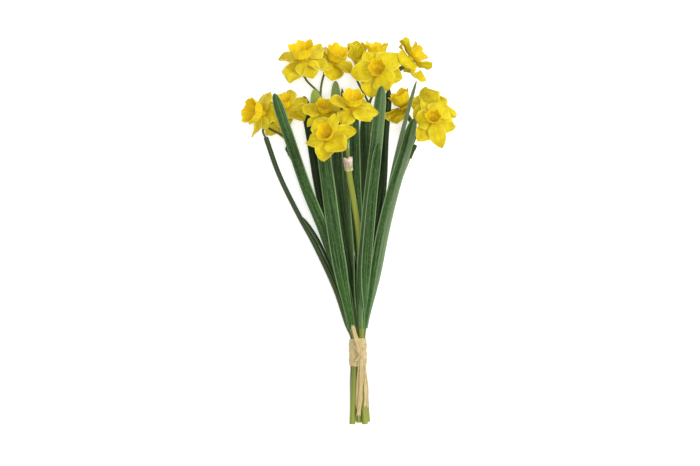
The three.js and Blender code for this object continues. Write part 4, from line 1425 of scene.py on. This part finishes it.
def add_ribbon(body, places, widths, seed, lean, ragged):
    """A flat strand of raffia through the given places, ragged at its free end."""
    way = Way([at(place) for place in places])
    v = BAND_ACROSS
    rows = []
    shares = np.linspace(0, 1, RIBBON_STEPS)
    for u in shares:
        t = way.share(u)
        centre, along = way.point(t), way.tangent(t)
        side = unit(np.cross(along, look(lean + RIBBON_TURN * math.sin(5 * u + seed))))
        out = np.cross(side, along)
        half = mix(widths[0], widths[1], u) / 2 * (1 + 0.08 * math.sin(17 * u + seed))
        fold = RIBBON_CROWN * (1 - v * v) + 0.14 * np.cos(9 * v + 3 * u + seed)
        fold = fold + 0.1 * np.cos(21 * v + seed)
        tear = 1.3 * ragged * np.sin(7 * v + seed) * smooth(u, 0.93, 1.0)
        fine = RIBBON_THICKNESS * (1 - 0.5 * v**4) / 2
        flat = centre + np.outer(v * half, side) + np.outer(tear, along)
        front, back = flat + np.outer(fold + fine, out), flat + np.outer(fold - fine, out)
        rows.append(np.concatenate([front, back[::-1]]))
    body.loft(rows, shares * way.length, there_and_back(v))


# Each ribbon has its way on the sheet, its widths at both ends, and its lean. The first four
# are the knot's loose ends, the others its folds.
KNOT_RIBBONS = [
    ([(360.5, 357, 20.8), (358.8, 375, 18), (357.6, 393, 16.4), (357.4, 410, 16)], (3.4, 2.8), 0),
    ([(361.5, 357, 21.2), (361.6, 378, 20.2), (360.6, 398, 18.6), (358.6, 417, 17.6)], (3.6, 4.2), 0),
    ([(362.5, 357, 20.8), (365, 375, 19), (366.4, 392, 17.4), (366.8, 408, 17.2)], (3.4, 5.6), 0),
    ([(361, 356, 20.8), (358.6, 346, 21.6), (355.4, 336, 25), (352.6, 326, 28)], (5.0, 3.8), 0),
    ([(353.5, 346.5, 18), (356.5, 349, 20.2), (360.5, 354.5, 22.2), (364.5, 361, 20), (366, 364, 17.5)],
     (3.2, 3.4), 0),
    ([(366, 349, 17.8), (363.6, 351.6, 20.4), (360.6, 356, 22.6), (357.6, 360, 20.6), (355.6, 362.6, 19)],
     (3.2, 3.0), 0),
    ([(359, 352.6, 21.4), (361.4, 354.8, 23), (362.6, 357.6, 22.8), (361.4, 360.6, 21)], (2.6, 3.4), 10),
]
LOOSE_ENDS = 4
STRAY_FIBRES = 26
FIBRE_STEPS = 12
FIBRE_RADIUS = 0.13
FIBRE_SIDES = 5
FIBRE_SEED = 5
FIBRE_SPREAD = 2.0
FIBRE_LIFT = 0.75


def stray_fibre(draw, number):
    """A thin fibre that lies on one of the knot's loose ends and wanders off it."""
    way = Way([at(place) for place in KNOT_RIBBONS[draw.randrange(LOOSE_ENDS)][0]])
    shares = np.linspace(draw.uniform(0.1, 0.5), draw.uniform(0.75, 1.0), FIBRE_STEPS)
    off = draw.uniform(-FIBRE_SPREAD, FIBRE_SPREAD)
    points = []
    for u in shares:
        aside = off + 0.4 * math.sin(4 * u + number)
        above = FIBRE_LIFT + 0.2 * math.cos(5 * u)
        points.append(way.point(way.share(u)) + np.array([aside, 0, above]))
    return points, np.full(FIBRE_STEPS, FIBRE_RADIUS)


def add_tie(material):
    """The turns round the stems, the knot with its loose ends, and the stray fibres."""
    wrap = Body()
    for number, band in enumerate(WRAP_BANDS):
        add_band(wrap, band, number)
    add_piece("tie_wrap", wrap.mesh("tie_wrap"), material, ["raffia_wrap"])
    knot = Body()
    for number, (places, widths, lean) in enumerate(KNOT_RIBBONS):
        ragged = 1.0 if number < LOOSE_ENDS else 0.2
        add_ribbon(knot, places, widths, number * 1.7, lean, ragged)
    add_piece("tie_knot", knot.mesh("tie_knot"), material, ["raffia_knot"])
    draw = random.Random(FIBRE_SEED)
    fibres = path_of([stray_fibre(draw, number) for number in range(STRAY_FIBRES)])
    data = made_by(stalk_tree(), fibres, Sides=FIBRE_SIDES, Finish=material)
    data.shade_smooth()
    data.name = "tie_fibres"
    add_piece("tie_fibres", data, material, [])


add_stems(stalk_finish())
add_sheaths(sheath_finish())
add_leaves(leaf_finish())
add_blooms(petal_finish(), cup_finish(), anther_finish())
add_tie(raffia_finish())
